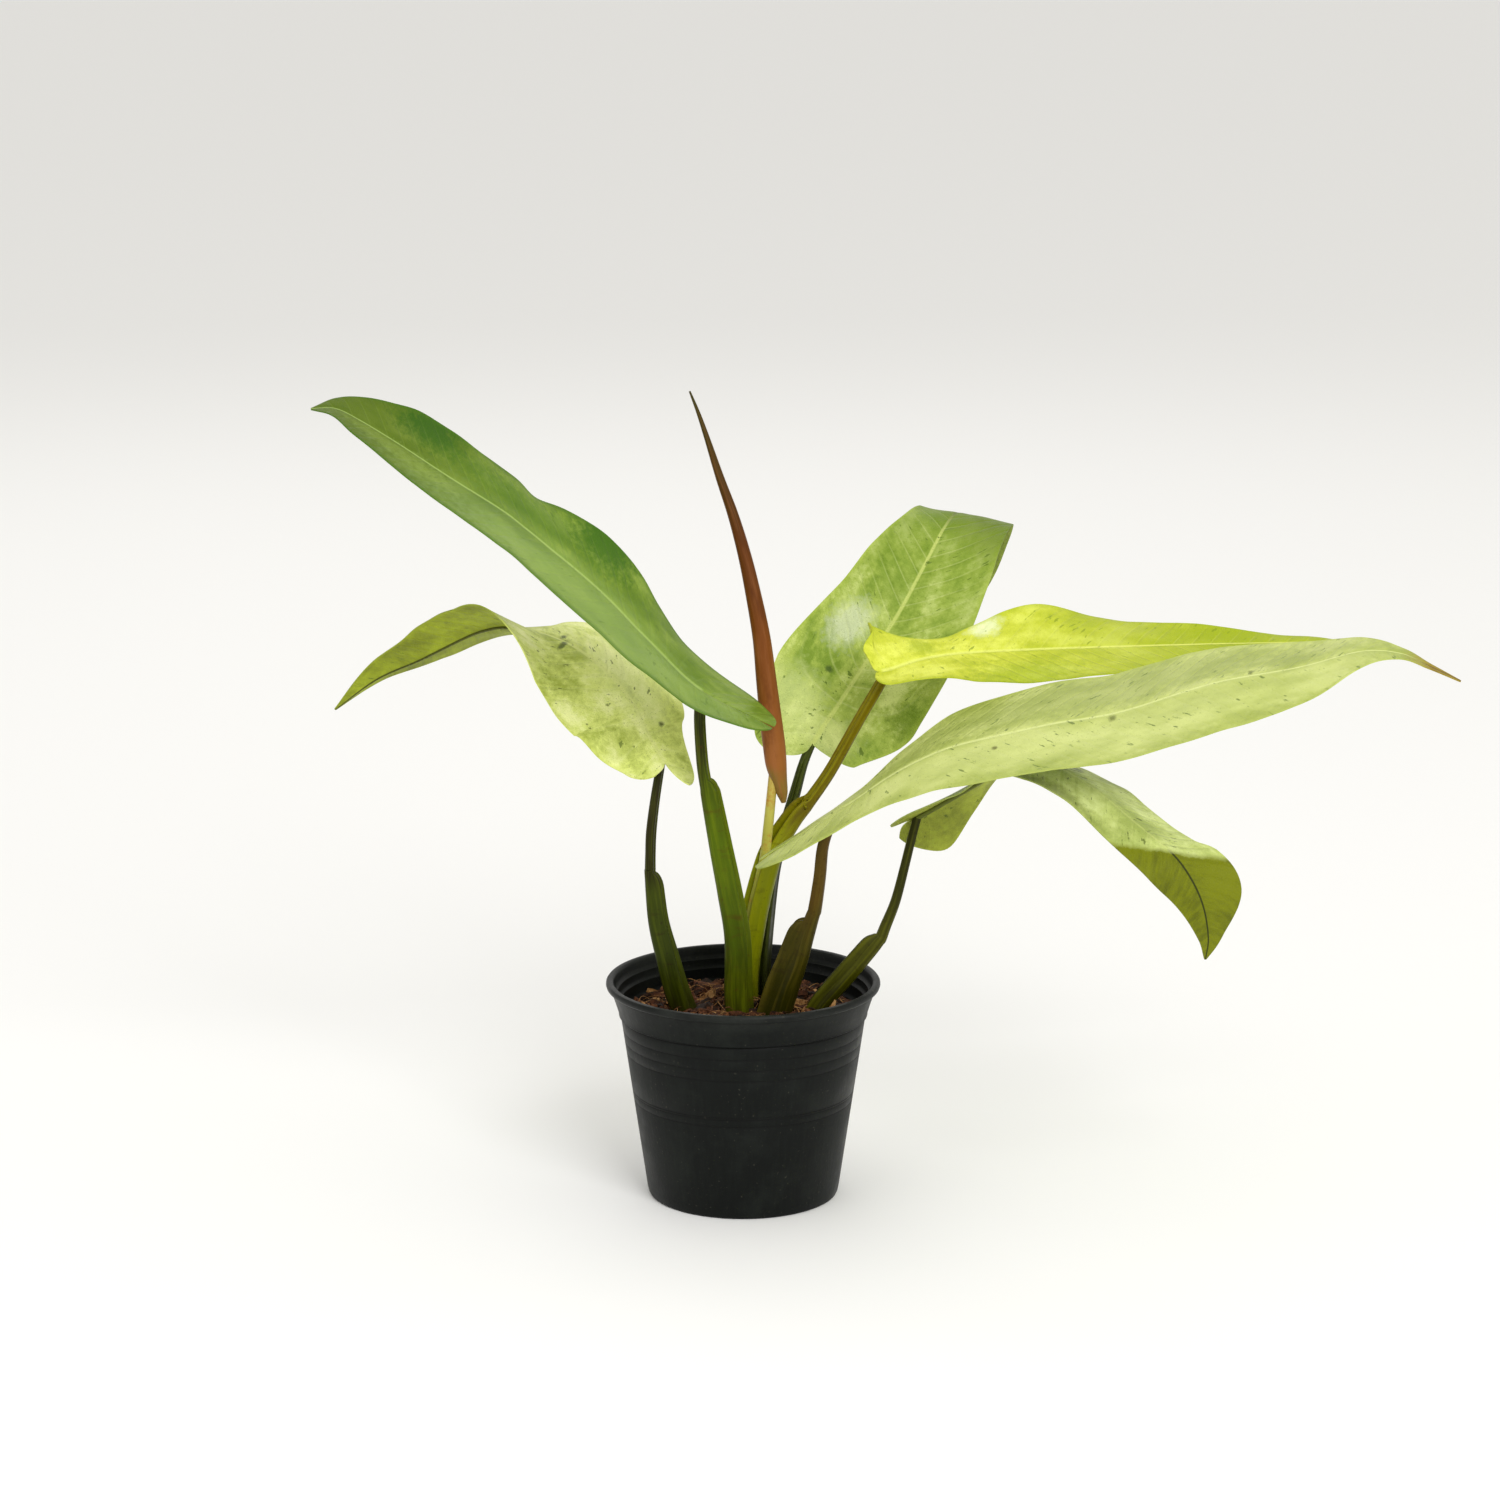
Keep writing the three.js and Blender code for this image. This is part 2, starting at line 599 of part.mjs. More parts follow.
// The rolled new leaf: its outer edge laps over the turn below it, along its whole length
function rolledLeaf() {
  const rings = framesAlong(NEW_LEAF, [0.5, -0.85, 0.1]).map(({ at, up, right }, i) =>
    Array.from({ length: ROLL_SIDES }, (_, j) => {
      const share = j / (ROLL_SIDES - 1);
      const turn = 2 * Math.PI * share * 0.985;
      const radius = NEW_LEAF[i][3] * (1 + ROLL_OVERLAP * (0.5 - share));
      return at
        .clone()
        .addScaledVector(right, radius * Math.cos(turn))
        .addScaledVector(up, radius * Math.sin(turn));
    }),
  );
  return loft(rings);
}

const COLLAR_RADIUS = 54.8;
const STEP_RADIUS = 54;
const RIM_RADIUS = 58.2;

// The outside of the tapering body at a height
function bodyRadius(z) {
  return BASE_RADIUS + (STEP_RADIUS - BASE_RADIUS) * (z / COLLAR_Z);
}

// The pot: a thin moulded wall with a collar and a rolled lip, and drain holes in its floor
function pot() {
  const heights = [4, 42, 78];
  const outside = [
    [0, 0],
    [BASE_RADIUS - 1.5, 0],
    [BASE_RADIUS, 1.2],
    ...heights.map((z) => [bodyRadius(z), z]),
    [STEP_RADIUS, COLLAR_Z - 2],
    [COLLAR_RADIUS, COLLAR_Z],
    [RIM_RADIUS, POT_HEIGHT - 3.2],
    [LIP_RADIUS - 0.6, POT_HEIGHT - 2.6],
    [LIP_RADIUS, POT_HEIGHT - 1.4],
    [LIP_RADIUS - 0.5, POT_HEIGHT - 0.3],
    [LIP_RADIUS - 1.4, POT_HEIGHT],
  ];
  const inside = [
    [RIM_RADIUS - 0.9, POT_HEIGHT - 0.5],
    [RIM_RADIUS - WALL - 0.4, POT_HEIGHT - 3],
    [COLLAR_RADIUS - WALL, COLLAR_Z + 1.4],
    [STEP_RADIUS - WALL, COLLAR_Z - 0.6],
    ...heights.toReversed().map((z) => [bodyRadius(z) - WALL, z]),
    [BASE_RADIUS - WALL - 1.5, FLOOR],
    [0, FLOOR],
  ];
  const profile = [...outside, ...inside].map(([r, z]) => new THREE.Vector2(r, z));
  const turned = solidOf(new THREE.LatheGeometry(profile, POT_SEGMENTS), Z_UP);
  const drill = new THREE.CylinderGeometry(DRAIN_HOLE_RADIUS, DRAIN_HOLE_RADIUS, 4 * FLOOR, 16);
  let made = turned;
  for (let i = 0; i < DRAIN_HOLES; i++) {
    const turn = (2 * Math.PI * (i + 0.5)) / DRAIN_HOLES;
    const at = new THREE.Matrix4().makeTranslation(
      DRAIN_RING_RADIUS * Math.cos(turn),
      DRAIN_RING_RADIUS * Math.sin(turn),
      0,
    );
    made = made.subtract(solidOf(drill, at.multiply(Z_UP)));
  }
  return made;
}

const STEM_SIDES = 12;
const ROOT_SIDES = 7;
const ROOT_CURL = 0.5; // how far a root turns aside by its end, in radians
// Along a root: the share of its reach, the height less a share of its lowest point, and the radius
const ROOT_ROWS = [
  [0.1, 32, 0, 2.6],
  [0.4, 29, 0, 2.4],
  [0.68, 22, 0.25, 2.1],
  [0.88, 12, 0.5, 1.7],
  [1, 0, 1, 1.1],
];

// The stem and its roots, all below the surface of the mix
function stemAndRoots(grow = 0) {
  return ROOTS.reduce((whole, [degrees, reach, low]) => {
    const rows = ROOT_ROWS.map(([share, height, drop, radius]) => {
      const turn = THREE.MathUtils.degToRad(degrees) + ROOT_CURL * share;
      return [
        STEM_CENTRE[0] + reach * share * Math.cos(turn),
        STEM_CENTRE[1] + reach * share * Math.sin(turn),
        height + low * drop,
        radius,
      ];
    });
    return whole.add(rod(rows, ROOT_SIDES, grow));
  }, rod(STEM, STEM_SIDES, grow));
}

const MIX_CLEARANCE = 0.45; // from the wall, a little over GAP because both are many-sided
const MIX_RINGS = [50, 43, 35, 27, 19, 11, 4]; // radii of the rings of its uneven surface
const CHIP_LENGTH = [5.5, 10.5];
const CHIP_WIDTH = [0.45, 0.75]; // as a share of the length
const CHIP_HEIGHT = [2, 3.4];
const CHIP_FIELD = [5, 42]; // radii between which the chips lie
const CHIP_TAPER = 0.72;
const GOLDEN_TURN = 2.399963; // spreads the chips evenly over the surface
const FIBRE_FIELD = [10, 36];
const FIBRE_REACH = 9; // half its length
const FIBRE_RADIUS = 0.55;
const FIBRE_ARCH = 4.4; // how far its middle stands above its ends
const FIBRE_RISE = 2.6;

// The height of the heaped surface at a point: lumps of two sizes, and lower at the wall
function heap(x, y) {
  const lumps = 0.9 * Math.sin(x / 7 + 1) * Math.cos(y / 6) + 0.5 * Math.sin(x / 3.1 - y / 4.3);
  return SOIL_Z + lumps - 1.2 * (Math.hypot(x, y) / 50) ** 4;
}

// The bare body of the mix, wide enough to fill the pot up to its surface
function mixBody() {
  const inner = (z) => bodyRadius(z) - WALL - MIX_CLEARANCE;
  const ring = (radius, z) =>
    Array.from({ length: MIX_SEGMENTS }, (_, j) => {
      const turn = (2 * Math.PI * j) / MIX_SEGMENTS;
      const [x, y] = [radius * Math.cos(turn), radius * Math.sin(turn)];
      return new THREE.Vector3(x, y, z ?? heap(x, y));
    });
  return loft([
    ring(inner(FLOOR) - 2, FLOOR + GAP),
    ring(inner(5), 5),
    ring(inner(COLLAR_Z - 4), COLLAR_Z - 4),
    ...MIX_RINGS.map((radius) => ring(radius)),
  ]);
}

// A husk chip: a wedge-shaped block that lies tilted on the surface
function chip([length, width, height], [x, y], lift, tilt) {
  const block = new THREE.BoxGeometry(length, width, height);
  const corners = block.attributes.position;
  for (let i = 0; i < corners.count; i++)
    if (corners.getX(i) > 0) corners.setY(i, corners.getY(i) * CHIP_TAPER);
  const matrix = new THREE.Matrix4().makeRotationFromEuler(new THREE.Euler(...tilt));
  matrix.setPosition(x, y, heap(x, y) + lift);
  return solidOf(block, matrix);
}

// A fibre: a thin bent rod whose two ends run down into the mix
function fibre([x, y], heading, bend) {
  const rows = [-1, -0.5, 0, 0.5, 1].map((share) => {
    const along = FIBRE_REACH * share;
    const across = bend * (1 - share ** 2);
    const fx = x + along * Math.cos(heading) - across * Math.sin(heading);
    const fy = y + along * Math.sin(heading) + across * Math.cos(heading);
    return [fx, fy, heap(fx, fy) + FIBRE_RISE - FIBRE_ARCH * share ** 2, FIBRE_RADIUS];
  });
  return rod(rows, 4);
}

// The mix: a body that fills the pot, with chips and fibres fused to its surface by a seeded rule
function potFilling() {
  const random = randomNumbers(SEED);
  const between = ([low, high]) => low + (high - low) * random();
  const polar = (radius, turn) => [radius * Math.cos(turn), radius * Math.sin(turn)];
  let made = mixBody();
  for (let i = 0; i < CHIP_COUNT; i++) {
    const spread = Math.sqrt((i + 0.5) / CHIP_COUNT);
    const at = polar(CHIP_FIELD[0] + (CHIP_FIELD[1] - CHIP_FIELD[0]) * spread, i * GOLDEN_TURN);
    const length = between(CHIP_LENGTH);
    const size = [length, length * between(CHIP_WIDTH), between(CHIP_HEIGHT)];
    const tilt = [between([-0.5, 0.5]), between([-0.5, 0.5]), between([0, 2 * Math.PI])];
    made = made.add(chip(size, at, between([-0.2, 1]), tilt));
  }
  for (let i = 0; i < FIBRE_COUNT; i++) {
    const at = polar(between(FIBRE_FIELD), between([0, 2 * Math.PI]));
    made = made.add(fibre(at, between([0, 2 * Math.PI]), between([-5, 5])));
  }
  return made;
}

// The pieces, each cut clear of what it stands in
const stem = stemAndRoots();
const stemRoom = stemAndRoots(GAP);
const names = Object.keys(BLADES);
const blades = Object.fromEntries(names.map((name) => [name, blade(BLADES[name])]));
const stalkRooms = Object.fromEntries(names.map((name) => [name, stalk(STALKS[name], GAP)]));
const newStalkRoom = rod(NEW_LEAF_STALK, NEW_STALK_SIDES, GAP);
const roll = rolledLeaf();
const stalks = {};
names.forEach((name, i) => {
  let made = stalk(STALKS[name]).subtract(blade(BLADES[name], GAP)).subtract(stemRoom);
  for (const other of names.slice(0, i)) made = made.subtract(stalkRooms[other]);
  if (name === "yellow") made = made.subtract(newStalkRoom);
  stalks[name] = largest(made);
});
const rollRoom = rod(
  NEW_LEAF.map(([x, y, z, radius]) => [x, y, z, radius * (1 + ROLL_OVERLAP / 2)]),
  ROLL_SIDES,
  GAP,
);
const newStalk = largest(rod(NEW_LEAF_STALK, NEW_STALK_SIDES).subtract(rollRoom));
const mix = largest(
  names.reduce((whole, name) => whole.subtract(stalkRooms[name]), potFilling().subtract(stemRoom)),
);

const plant = new THREE.Group();
plant.add(named("pot", pot(), 0x1c211e, 0.55));
plant.add(named("potting_mix", mix, 0x6e3f20, 0.95));
plant.add(named("stem_and_roots", stem, 0xb9a67c, 0.8));
for (const name of names) {
  plant.add(named(`stalk_${name}`, stalks[name], STALKS[name].colour, 0.5));
  plant.add(named(`blade_${name}`, blades[name], BLADES[name].colour, 0.45));
}
plant.add(named("stalk_new_leaf", newStalk, 0xbebe50, 0.5));
plant.add(named("rolled_new_leaf", roll, 0xaa6440, 0.5));

export default plant;
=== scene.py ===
# %% [markdown]
# # A potted philodendron
# The plant stands in a thin plastic nursery pot filled with husk chips. Six long leaves arch out on grooved
# stalks, and the newest leaf is still rolled up. The imported solids of the same plant are loaded first, as a
# fixed frame. Most pieces made here are a finer version of one of them and take its place in the picture;
# the loose husk bits are added on top of the imported mix.

# %% Load the imported model
import math
import random

import bmesh
import bpy
from bmesh.types import BMEdge, BMFace, BMVert
from mathutils import Euler, Matrix, Vector, noise


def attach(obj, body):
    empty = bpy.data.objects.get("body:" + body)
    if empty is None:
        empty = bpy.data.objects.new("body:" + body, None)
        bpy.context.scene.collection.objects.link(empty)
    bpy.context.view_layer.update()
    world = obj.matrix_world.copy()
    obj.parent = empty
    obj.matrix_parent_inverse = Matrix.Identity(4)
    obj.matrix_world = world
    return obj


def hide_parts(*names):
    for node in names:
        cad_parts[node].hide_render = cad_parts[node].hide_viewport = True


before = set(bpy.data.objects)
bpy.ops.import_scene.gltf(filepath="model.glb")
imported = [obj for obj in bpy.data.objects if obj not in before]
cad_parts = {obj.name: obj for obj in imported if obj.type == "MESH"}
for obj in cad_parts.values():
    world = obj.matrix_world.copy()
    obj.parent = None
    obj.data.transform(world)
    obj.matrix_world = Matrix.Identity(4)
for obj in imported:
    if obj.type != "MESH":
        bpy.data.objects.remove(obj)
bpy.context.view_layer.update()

MM = 0.001
print("nodes in the frame:", len(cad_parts))

# %% [markdown]
# ## Camera
# The photograph looks slightly down on the plant from a good distance, so the pot's mouth is a flat ellipse
# and upright lines hardly lean. A long lens, far away, gives that look.

# %% Helpers for the camera and the lamps
PLANT_MIDDLE = Vector((0.003, 0.0, 0.2))


def new_object(name, data):
    """An object in the scene that holds a mesh, a camera or a lamp."""
    made = bpy.data.objects.new(name, data)
    bpy.context.scene.collection.objects.link(made)
    return made


def aim(name, data, place):
    """A camera or a lamp that looks at the plant's middle."""
    made = new_object(name, data)
    made.location = place
    made.rotation_euler = (PLANT_MIDDLE - made.location).to_track_quat("-Z", "Y").to_euler()
    return made


# %% Place the camera
CAMERA_AT = (0.003, -1.8, 0.605)
LENS_MM = 102
SENSOR_MM = 36

view = bpy.data.cameras.new("photo_view")
view.lens = LENS_MM
view.sensor_width = SENSOR_MM
view.clip_end = 100
bpy.context.scene.camera = aim("photo_view", view, CAMERA_AT)
print("camera distance:", round((PLANT_MIDDLE - Vector(CAMERA_AT)).length, 3), "m")

# %% [markdown]
# ## Floor and light
# The plant stands on a plain pale floor. Large soft lamps and a bright world keep the shadows faint, as in a
# light tent. A bigger lamp gives a softer shadow.

# %% Helpers for colours and meshes
def colour(red, green, blue):
    """A screen colour, 0 to 255, as the linear colour that a shader reads."""
    linear = [c / 12.92 if c <= 0.04045 else ((c + 0.055) / 1.055) ** 2.4
              for c in (red / 255, green / 255, blue / 255)]
    return (*linear, 1.0)


def make_object(name, bm):
    """Puts a bmesh into the scene as an object. The bmesh is used up."""
    mesh = bpy.data.meshes.new(name)
    bm.to_mesh(mesh)
    bm.free()
    return new_object(name, mesh)


# %% Lay the floor
FLOOR_SIZE = 60  # metres
PAPER = {"Base Color": colour(244, 244, 243), "Roughness": 0.9, "Specular IOR Level": 0.1}

bm = bmesh.new()
bmesh.ops.create_grid(bm, x_segments=1, y_segments=1, size=FLOOR_SIZE / 2)
floor = make_object("floor", bm)
paper = bpy.data.materials.new("white_paper")
paper.use_nodes = True
for socket, value in PAPER.items():
    paper.node_tree.nodes["Principled BSDF"].inputs[socket].default_value = value
floor.data.materials.append(paper)

# %% Hang the lamps and light the world
LAMPS = {  # place, size in metres, power in watts
    "key": ((0.9, -2.2, 1.7), 1.3, 42),
    "fill": ((-1.6, -1.4, 0.9), 1.6, 6),
    "back": ((-0.2, 1.8, 1.7), 1.6, 6),
}
WORLD = {"Color": (1, 0.985, 0.95, 1), "Strength": 0.82}

for name, (place, size, power) in LAMPS.items():
    lamp = bpy.data.lights.new(name, "AREA")
    lamp.size = size
    lamp.energy = power
    aim(name, lamp, place)
world = bpy.data.worlds.new("bright_world")
world.use_nodes = True
for socket, value in WORLD.items():
    world.node_tree.nodes["Background"].inputs[socket].default_value = value
bpy.context.scene.world = world
bpy.context.scene.view_settings.view_transform = "Standard"
print("lamps:", ", ".join(LAMPS))

# %% [markdown]
# ## Laying a sheet on a formula
# A leaf, a stalk and a rolled leaf have no straight edge to start from, but each can be said in two numbers:
# how far across and how far along. So a flat grid is made first, and each of its points is moved to where
# the formula puts it. Two UV maps are kept: one in centimetres, so veins keep their size, and one in shares
# of the whole, so a margin or a tip can be found. A pattern that reads them bends with the leaf.

# %% The sheet helpers
SIZES = "centimetres"
SHARES = "shares"
SEAM = 0.005 * MM  # points closer than this are welded along a seam


def new_sheet():
    """An empty bmesh with both maps."""
    bm = bmesh.new()
    bm.loops.layers.uv.new(SIZES)
    bm.loops.layers.uv.new(SHARES)
    return bm


def touching(parts, kind):
    """The link_faces or link_edges of some points, or the verts of some faces, each only once."""
    return list({found for part in parts for found in getattr(part, kind)})


def lay(bm, columns, rows, place, maps, turned=False):
    """A grid laid on a surface. place(s, t) and maps(s, t) give its points and maps, for shares 0 to 1."""
    layers = [bm.loops.layers.uv[SIZES], bm.loops.layers.uv[SHARES]]
    made = bmesh.ops.create_grid(bm, x_segments=columns, y_segments=rows, size=0.5)["verts"]
    faces = touching(made, "link_faces")
    for face in faces:
        for loop in face.loops:
            found = maps(loop.vert.co.x + 0.5, loop.vert.co.y + 0.5)
            for layer, value in zip(layers, found):
                loop[layer].uv = value
    for vert in made:
        vert.co = place(vert.co.x + 0.5, vert.co.y + 0.5) * MM
    if turned:
        bmesh.ops.reverse_faces(bm, faces=faces)
    return faces


def only(kind, parts):
    """The faces, edges or points among all that an operation made."""
    return [part for part in parts if isinstance(part, kind)]


def dress(faces, number):
    """Gives faces the piece's first material, 0, or a later one."""
    for face in faces:
        face.material_index = number


def close_ends(bm):
    """Fills each open end with a flat face."""
    ends = [edge for edge in bm.edges if edge.is_boundary]
    bmesh.ops.holes_fill(bm, edges=ends, sides=0)


def close_solid(bm, weld=False):
    """Fills the open ends and turns all faces outwards. A tube's seam is welded first."""
    if weld:
        bmesh.ops.remove_doubles(bm, verts=bm.verts, dist=SEAM)
    close_ends(bm)
    bmesh.ops.recalc_face_normals(bm, faces=bm.faces)


def finish_piece(bm, name, materials, stands_for=None, sharp=60):
    """Makes a smooth piece that rides on the plant. Edges sharper than sharp, in degrees, stay crisp."""
    piece = make_object(name, bm)
    piece.data.shade_smooth()
    piece.data.set_sharp_from_angle(angle=math.radians(sharp))
    for material in materials:
        piece.data.materials.append(material)
    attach(piece, "root")
    if stands_for:
        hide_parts(stands_for)
    print(name, "faces:", len(piece.data.polygons))


# %% Curves through rows of numbers
RUN_STEPS = 40  # short steps from one row to the next, to measure a length
NEARBY = 0.02  # how far to each side a heading is measured, as a share of the way from row to row


def smooth(a, b, c, d, t):
    """The value at a share t of the way from b to c, on a curve that also runs through a and d."""
    return b + 0.5 * t * (c - a + t * (2 * a - 5 * b + 4 * c - d + t * (3 * (b - c) + d - a)))


def blend(rows, place):
    """A smooth curve through rows of numbers. place runs from 0 to the last row's number."""
    i = min(int(place), len(rows) - 2)
    values = []
    for k, b in enumerate(rows[i]):
        c = rows[i + 1][k]
        a = rows[i - 1][k] if i > 0 else 2 * b - c
        d = rows[i + 2][k] if i + 2 < len(rows) else 2 * c - b
        values.append(smooth(a, b, c, d, place - i))
    return values


def across_line(rows, place, upward):
    """The way up and the way right of a curve at a place. upward is only roughly up."""
    ahead = Vector(blend(rows, min(place + NEARBY, len(rows) - 1))[:3])
    heading = (ahead - Vector(blend(rows, max(place - NEARBY, 0))[:3])).normalized()
    upward = Vector(upward)
    up = (upward - upward.dot(heading) * heading).normalized()
    return up, heading.cross(up)


def run_along(rows, start=0):
    """How far along the curve a place lies, in millimetres from the row start. Also the whole run."""
    count = (len(rows) - 1) * RUN_STEPS
    points = [Vector(blend(rows, i / RUN_STEPS)[:3]) for i in range(count + 1)]
    run = [0.0]
    for here, ahead in zip(points, points[1:]):
        run.append(run[-1] + (ahead - here).length)
    run = [distance - run[start * RUN_STEPS] for distance in run]
    run.append(run[-1])

    def at(place):
        i = int(place * RUN_STEPS)
        return run[i] + (place * RUN_STEPS - i) * (run[i + 1] - run[i])

    return at, run[-1]


def tube_maps(rows, girth):
    """Both maps of a tube laid along rows. girth is its way round in centimetres."""
    run, length = run_along(rows)

    def maps(s, t):
        y = run(t * (len(rows) - 1))
        return (s * girth, y / 10), (s, y / length)

    return maps


# %% [markdown]
# ## Materials
# A leaf's colour changes with its veins: fine side veins leave the midrib at a slant, pale and dark streaks
# follow them, and small dark flecks lie between them. A leaf may also have a few larger patches: some are its
# own dark marks, some are painted shade, and some pale ones are painted sheen. All of it is worked out from
# the piece's own maps, so it bends with the leaf. Nodes could be placed and joined one by one, but two small
# classes let a material be written as a sum.

# %% Values that can be added and multiplied
class Value:
    """A value in a material. Adding or multiplying it makes a Math node."""

    def __init__(self, wires, socket):
        self.wires = wires
        self.socket = socket

    def __add__(self, other):
        return self.wires.math("ADD", self, other)

    def __sub__(self, other):
        return self.wires.math("SUBTRACT", self, other)

    def __rsub__(self, other):
        return self.wires.math("SUBTRACT", other, self)

    def __mul__(self, other):
        return self.wires.math("MULTIPLY", self, other)

    def __truediv__(self, other):
        return self.wires.math("DIVIDE", self, other)

    def __abs__(self):
        return self.wires.math("ABSOLUTE", self)

    def spread(self, low, high, start=0.0, end=1.0):
        """start where the value is low, end where it is high, and evenly between."""
        return self.wires.add("MapRange", self, low, high, start, end)


# %% A helper that wires shader nodes
class Wires:
    """Adds nodes to one material and joins them."""

    def __init__(self, name):
        self.material = bpy.data.materials.new(name)
        self.material.use_nodes = True
        self.tree = self.material.node_tree

    def join(self, value, socket):
        if isinstance(value, Value):
            self.tree.links.new(value.socket, socket)
        elif value is not None:
            socket.default_value = value

    def add(self, kind, *values, out=0, **settings):
        """A node with values for its first sockets, where None leaves a socket as it is."""
        node = self.tree.nodes.new("ShaderNode" + kind)
        for key, value in settings.items():
            setattr(node, key, value)
        for socket, value in zip(node.inputs, values):
            self.join(value, socket)
        return Value(self, node.outputs[out])

    def math(self, operation, *values):
        return self.add("Math", *values, operation=operation)

    def place(self, x, y, z=0.0):
        return self.add("CombineXYZ", x, y, z)

    def apart(self, place):
        """The x, y and z of a place."""
        node = self.tree.nodes.new("ShaderNodeSeparateXYZ")
        self.join(place, node.inputs[0])
        return [Value(self, socket) for socket in node.outputs]

    def map(self, name):
        return self.apart(self.add("UVMap", uv_map=name))[:2]

    def noise(self, place, scale=1.0, detail=4.0, roughness=0.6):
        return self.add("TexNoise", place, None, scale, detail, roughness)

    def paint(self, share, *tints):
        """Lays the second tint over the first, as strongly as share says."""
        tints = [tint if isinstance(tint, Value) else colour(*tint) for tint in tints]
        return self.add("MixRGB", share, *tints)

    def ramp(self, value, stops):
        """A tint that changes with a value. Each stop is a value and its red, green and blue."""
        node = self.tree.nodes.new("ShaderNodeValToRGB")
        self.join(value, node.inputs[0])
        stones = node.color_ramp.elements
        while len(stones) < len(stops):
            stones.new(0.5)
        for stone, (position, *tint) in zip(stones, stops):
            stone.position = position
            stone.color = colour(*tint)
        return Value(self, node.outputs[0])

    def finish(self, tint, rough, shine, relief, depth, strength):
        """The finished material. depth, in metres, is how high a relief of 1 stands."""
        sockets = self.tree.nodes["Principled BSDF"].inputs
        self.join(tint, sockets["Base Color"])
        self.join(rough, sockets["Roughness"])
        self.join(shine, sockets["Specular IOR Level"])
        self.join(self.add("Bump", strength, depth, None, relief), sockets["Normal"])
        return self.material


# %% The patterns of a leaf
VEIN_SPACING = 0.85  # centimetres between side veins, measured along the midrib
VEIN_SLANT = 0.75  # how far a vein runs forward for each step away from the midrib
VEIN_BEND = 0.09
RIB_CM = (0.14, 0.035)  # half the midrib's width at the stalk and at the tip
HALVES_APART = 7.3  # keeps the patterns of the two halves from mirroring each other


class LeafWires(Wires):
    """A material with the places and patterns that all leaf faces share."""

    def __init__(self, name, seed):
        super().__init__(name)
        across_cm, along_cm = self.map(SIZES)
        across, self.along = self.map(SHARES)
        self.side = across - 0.5
        self.away = abs(self.side) * 2
        self.away_cm = abs(across_cm)
        self.half = self.math("SIGN", across_cm) * HALVES_APART
        self.vein = self.side_veins(along_cm)
        self.from_vein = self.math("PINGPONG", self.vein, 0.5)
        self.flat = self.place(across_cm, along_cm, seed)
        self.cloud = self.noise(self.place(across_cm * 0.8, along_cm * 0.34, seed), 1.0, 3.0, 0.55)
        self.streak = self.noise(self.by_veins(1.3, 0.5, seed + 3), 1.0, 5.0, 0.7)
        self.dash = self.noise(self.by_veins(2.6, 1.5, seed + 9), 1.4, 3.0, 0.6)
        self.mottle = self.noise(self.flat, 3.2, 5.0, 0.7)
        self.grain = self.noise(self.flat, 22, 3.0, 0.7)
        rib_cm = self.along.spread(0.0, 1.0, *RIB_CM)
        self.rib = (self.away_cm / rib_cm).spread(0.45, 1.0, 1, 0) * along_cm.spread(-0.15, 0.0)

    def side_veins(self, along_cm):
        """They fan out behind the stalk and slant forward along the blade. Whole numbers lie on them."""
        away = self.away_cm
        slant = along_cm.spread(-1.5, 5, -VEIN_SLANT, VEIN_SLANT)
        reach = slant * away + away * away * VEIN_BEND * slant
        return (along_cm - reach) * (1 / VEIN_SPACING) + self.half * 0.06

    def by_veins(self, across_veins, along_veins, seed):
        """A place for a noise whose grain runs along the side veins."""
        return self.place(self.vein * across_veins, self.away_cm * along_veins + self.half, seed)


# %% Clouds, streaks and patches
def patch_share(w, across_at, along_at, wide, long, strength):
    """A soft oval patch: its place across (-1 to 1) and along, its two sizes and its strength."""
    offset = w.place((w.side - 0.5 * across_at) * (2 / wide), (w.along - along_at) * (1 / long))
    distance = w.add("VectorMath", offset, operation="LENGTH", out="Value")
    return (distance + w.mottle * 1.6).spread(1.25, 2.0, strength, 0)


def leaf_ground(w, look):
    """The green, middle and pale tints, then the tint of the far part and the patches."""
    streaks = look["streaks"]
    both = w.cloud * (0.75 - streaks) + w.streak * streaks + w.mottle * 0.25
    tint = w.ramp(both, [(0.4, *look["green"]), (0.5, *look["mid"]), (0.59, *look["pale"])])
    if "far" in look:
        far_tint, start, end, strength = look["far"]
        tint = w.paint(w.along.spread(start, end, 0, strength), tint, far_tint)
    for patch_tint, *patch in look["patches"]:
        tint = w.paint(patch_share(w, *patch), tint, patch_tint)
    return tint


# %% Veins, flecks and margin
def leaf_lines(w, look, tint):
    """The side veins and the midrib, the dark dashes and specks between them, the margin and a fine grain."""
    line = w.from_vein.spread(0.0, 0.07, 1, 0) * w.away.spread(0.45, 0.95, 1, 0.1)
    tint = w.paint(line * look["vein_share"], tint, look["vein"])
    tint = w.paint(w.rib * look["rib_share"], tint, look["rib"])
    fewer = w.noise(w.flat, 0.45, 1.0, 0.5).spread(0.42, 0.62, 0.05, 0)
    dashes = (w.dash - fewer).spread(0.625, 0.665)
    tint = w.paint(dashes * look["flecks"], tint, look["fleck"])
    specks = w.noise(w.flat, 11, 2.0, 0.5).spread(0.66, 0.72, 0, 0.5)
    tint = w.paint(specks * look["flecks"], tint, look["fleck"])
    tint = w.paint(w.away.spread(0.9, 0.99) * look["margin_share"], tint, look["margin"])
    return w.paint(w.grain.spread(0.4, 0.72, 0, 0.22), tint, look["green"])


def leaf_tip(w, tip, tint):
    """The far part, where the blade turns away: painted shade on the low leaves, the dry brown tip on the
    long one.
    """
    turned, dark, start, end, skew = tip
    far = w.along + w.side * skew + (w.mottle - 0.5) * 0.025
    streaks = (w.streak + w.cloud * 0.6).spread(0.78, 1.0) * 0.45
    turned = w.paint(w.rib, w.paint(streaks, turned, dark), dark)
    return w.paint(far.spread(start, end), tint, turned)


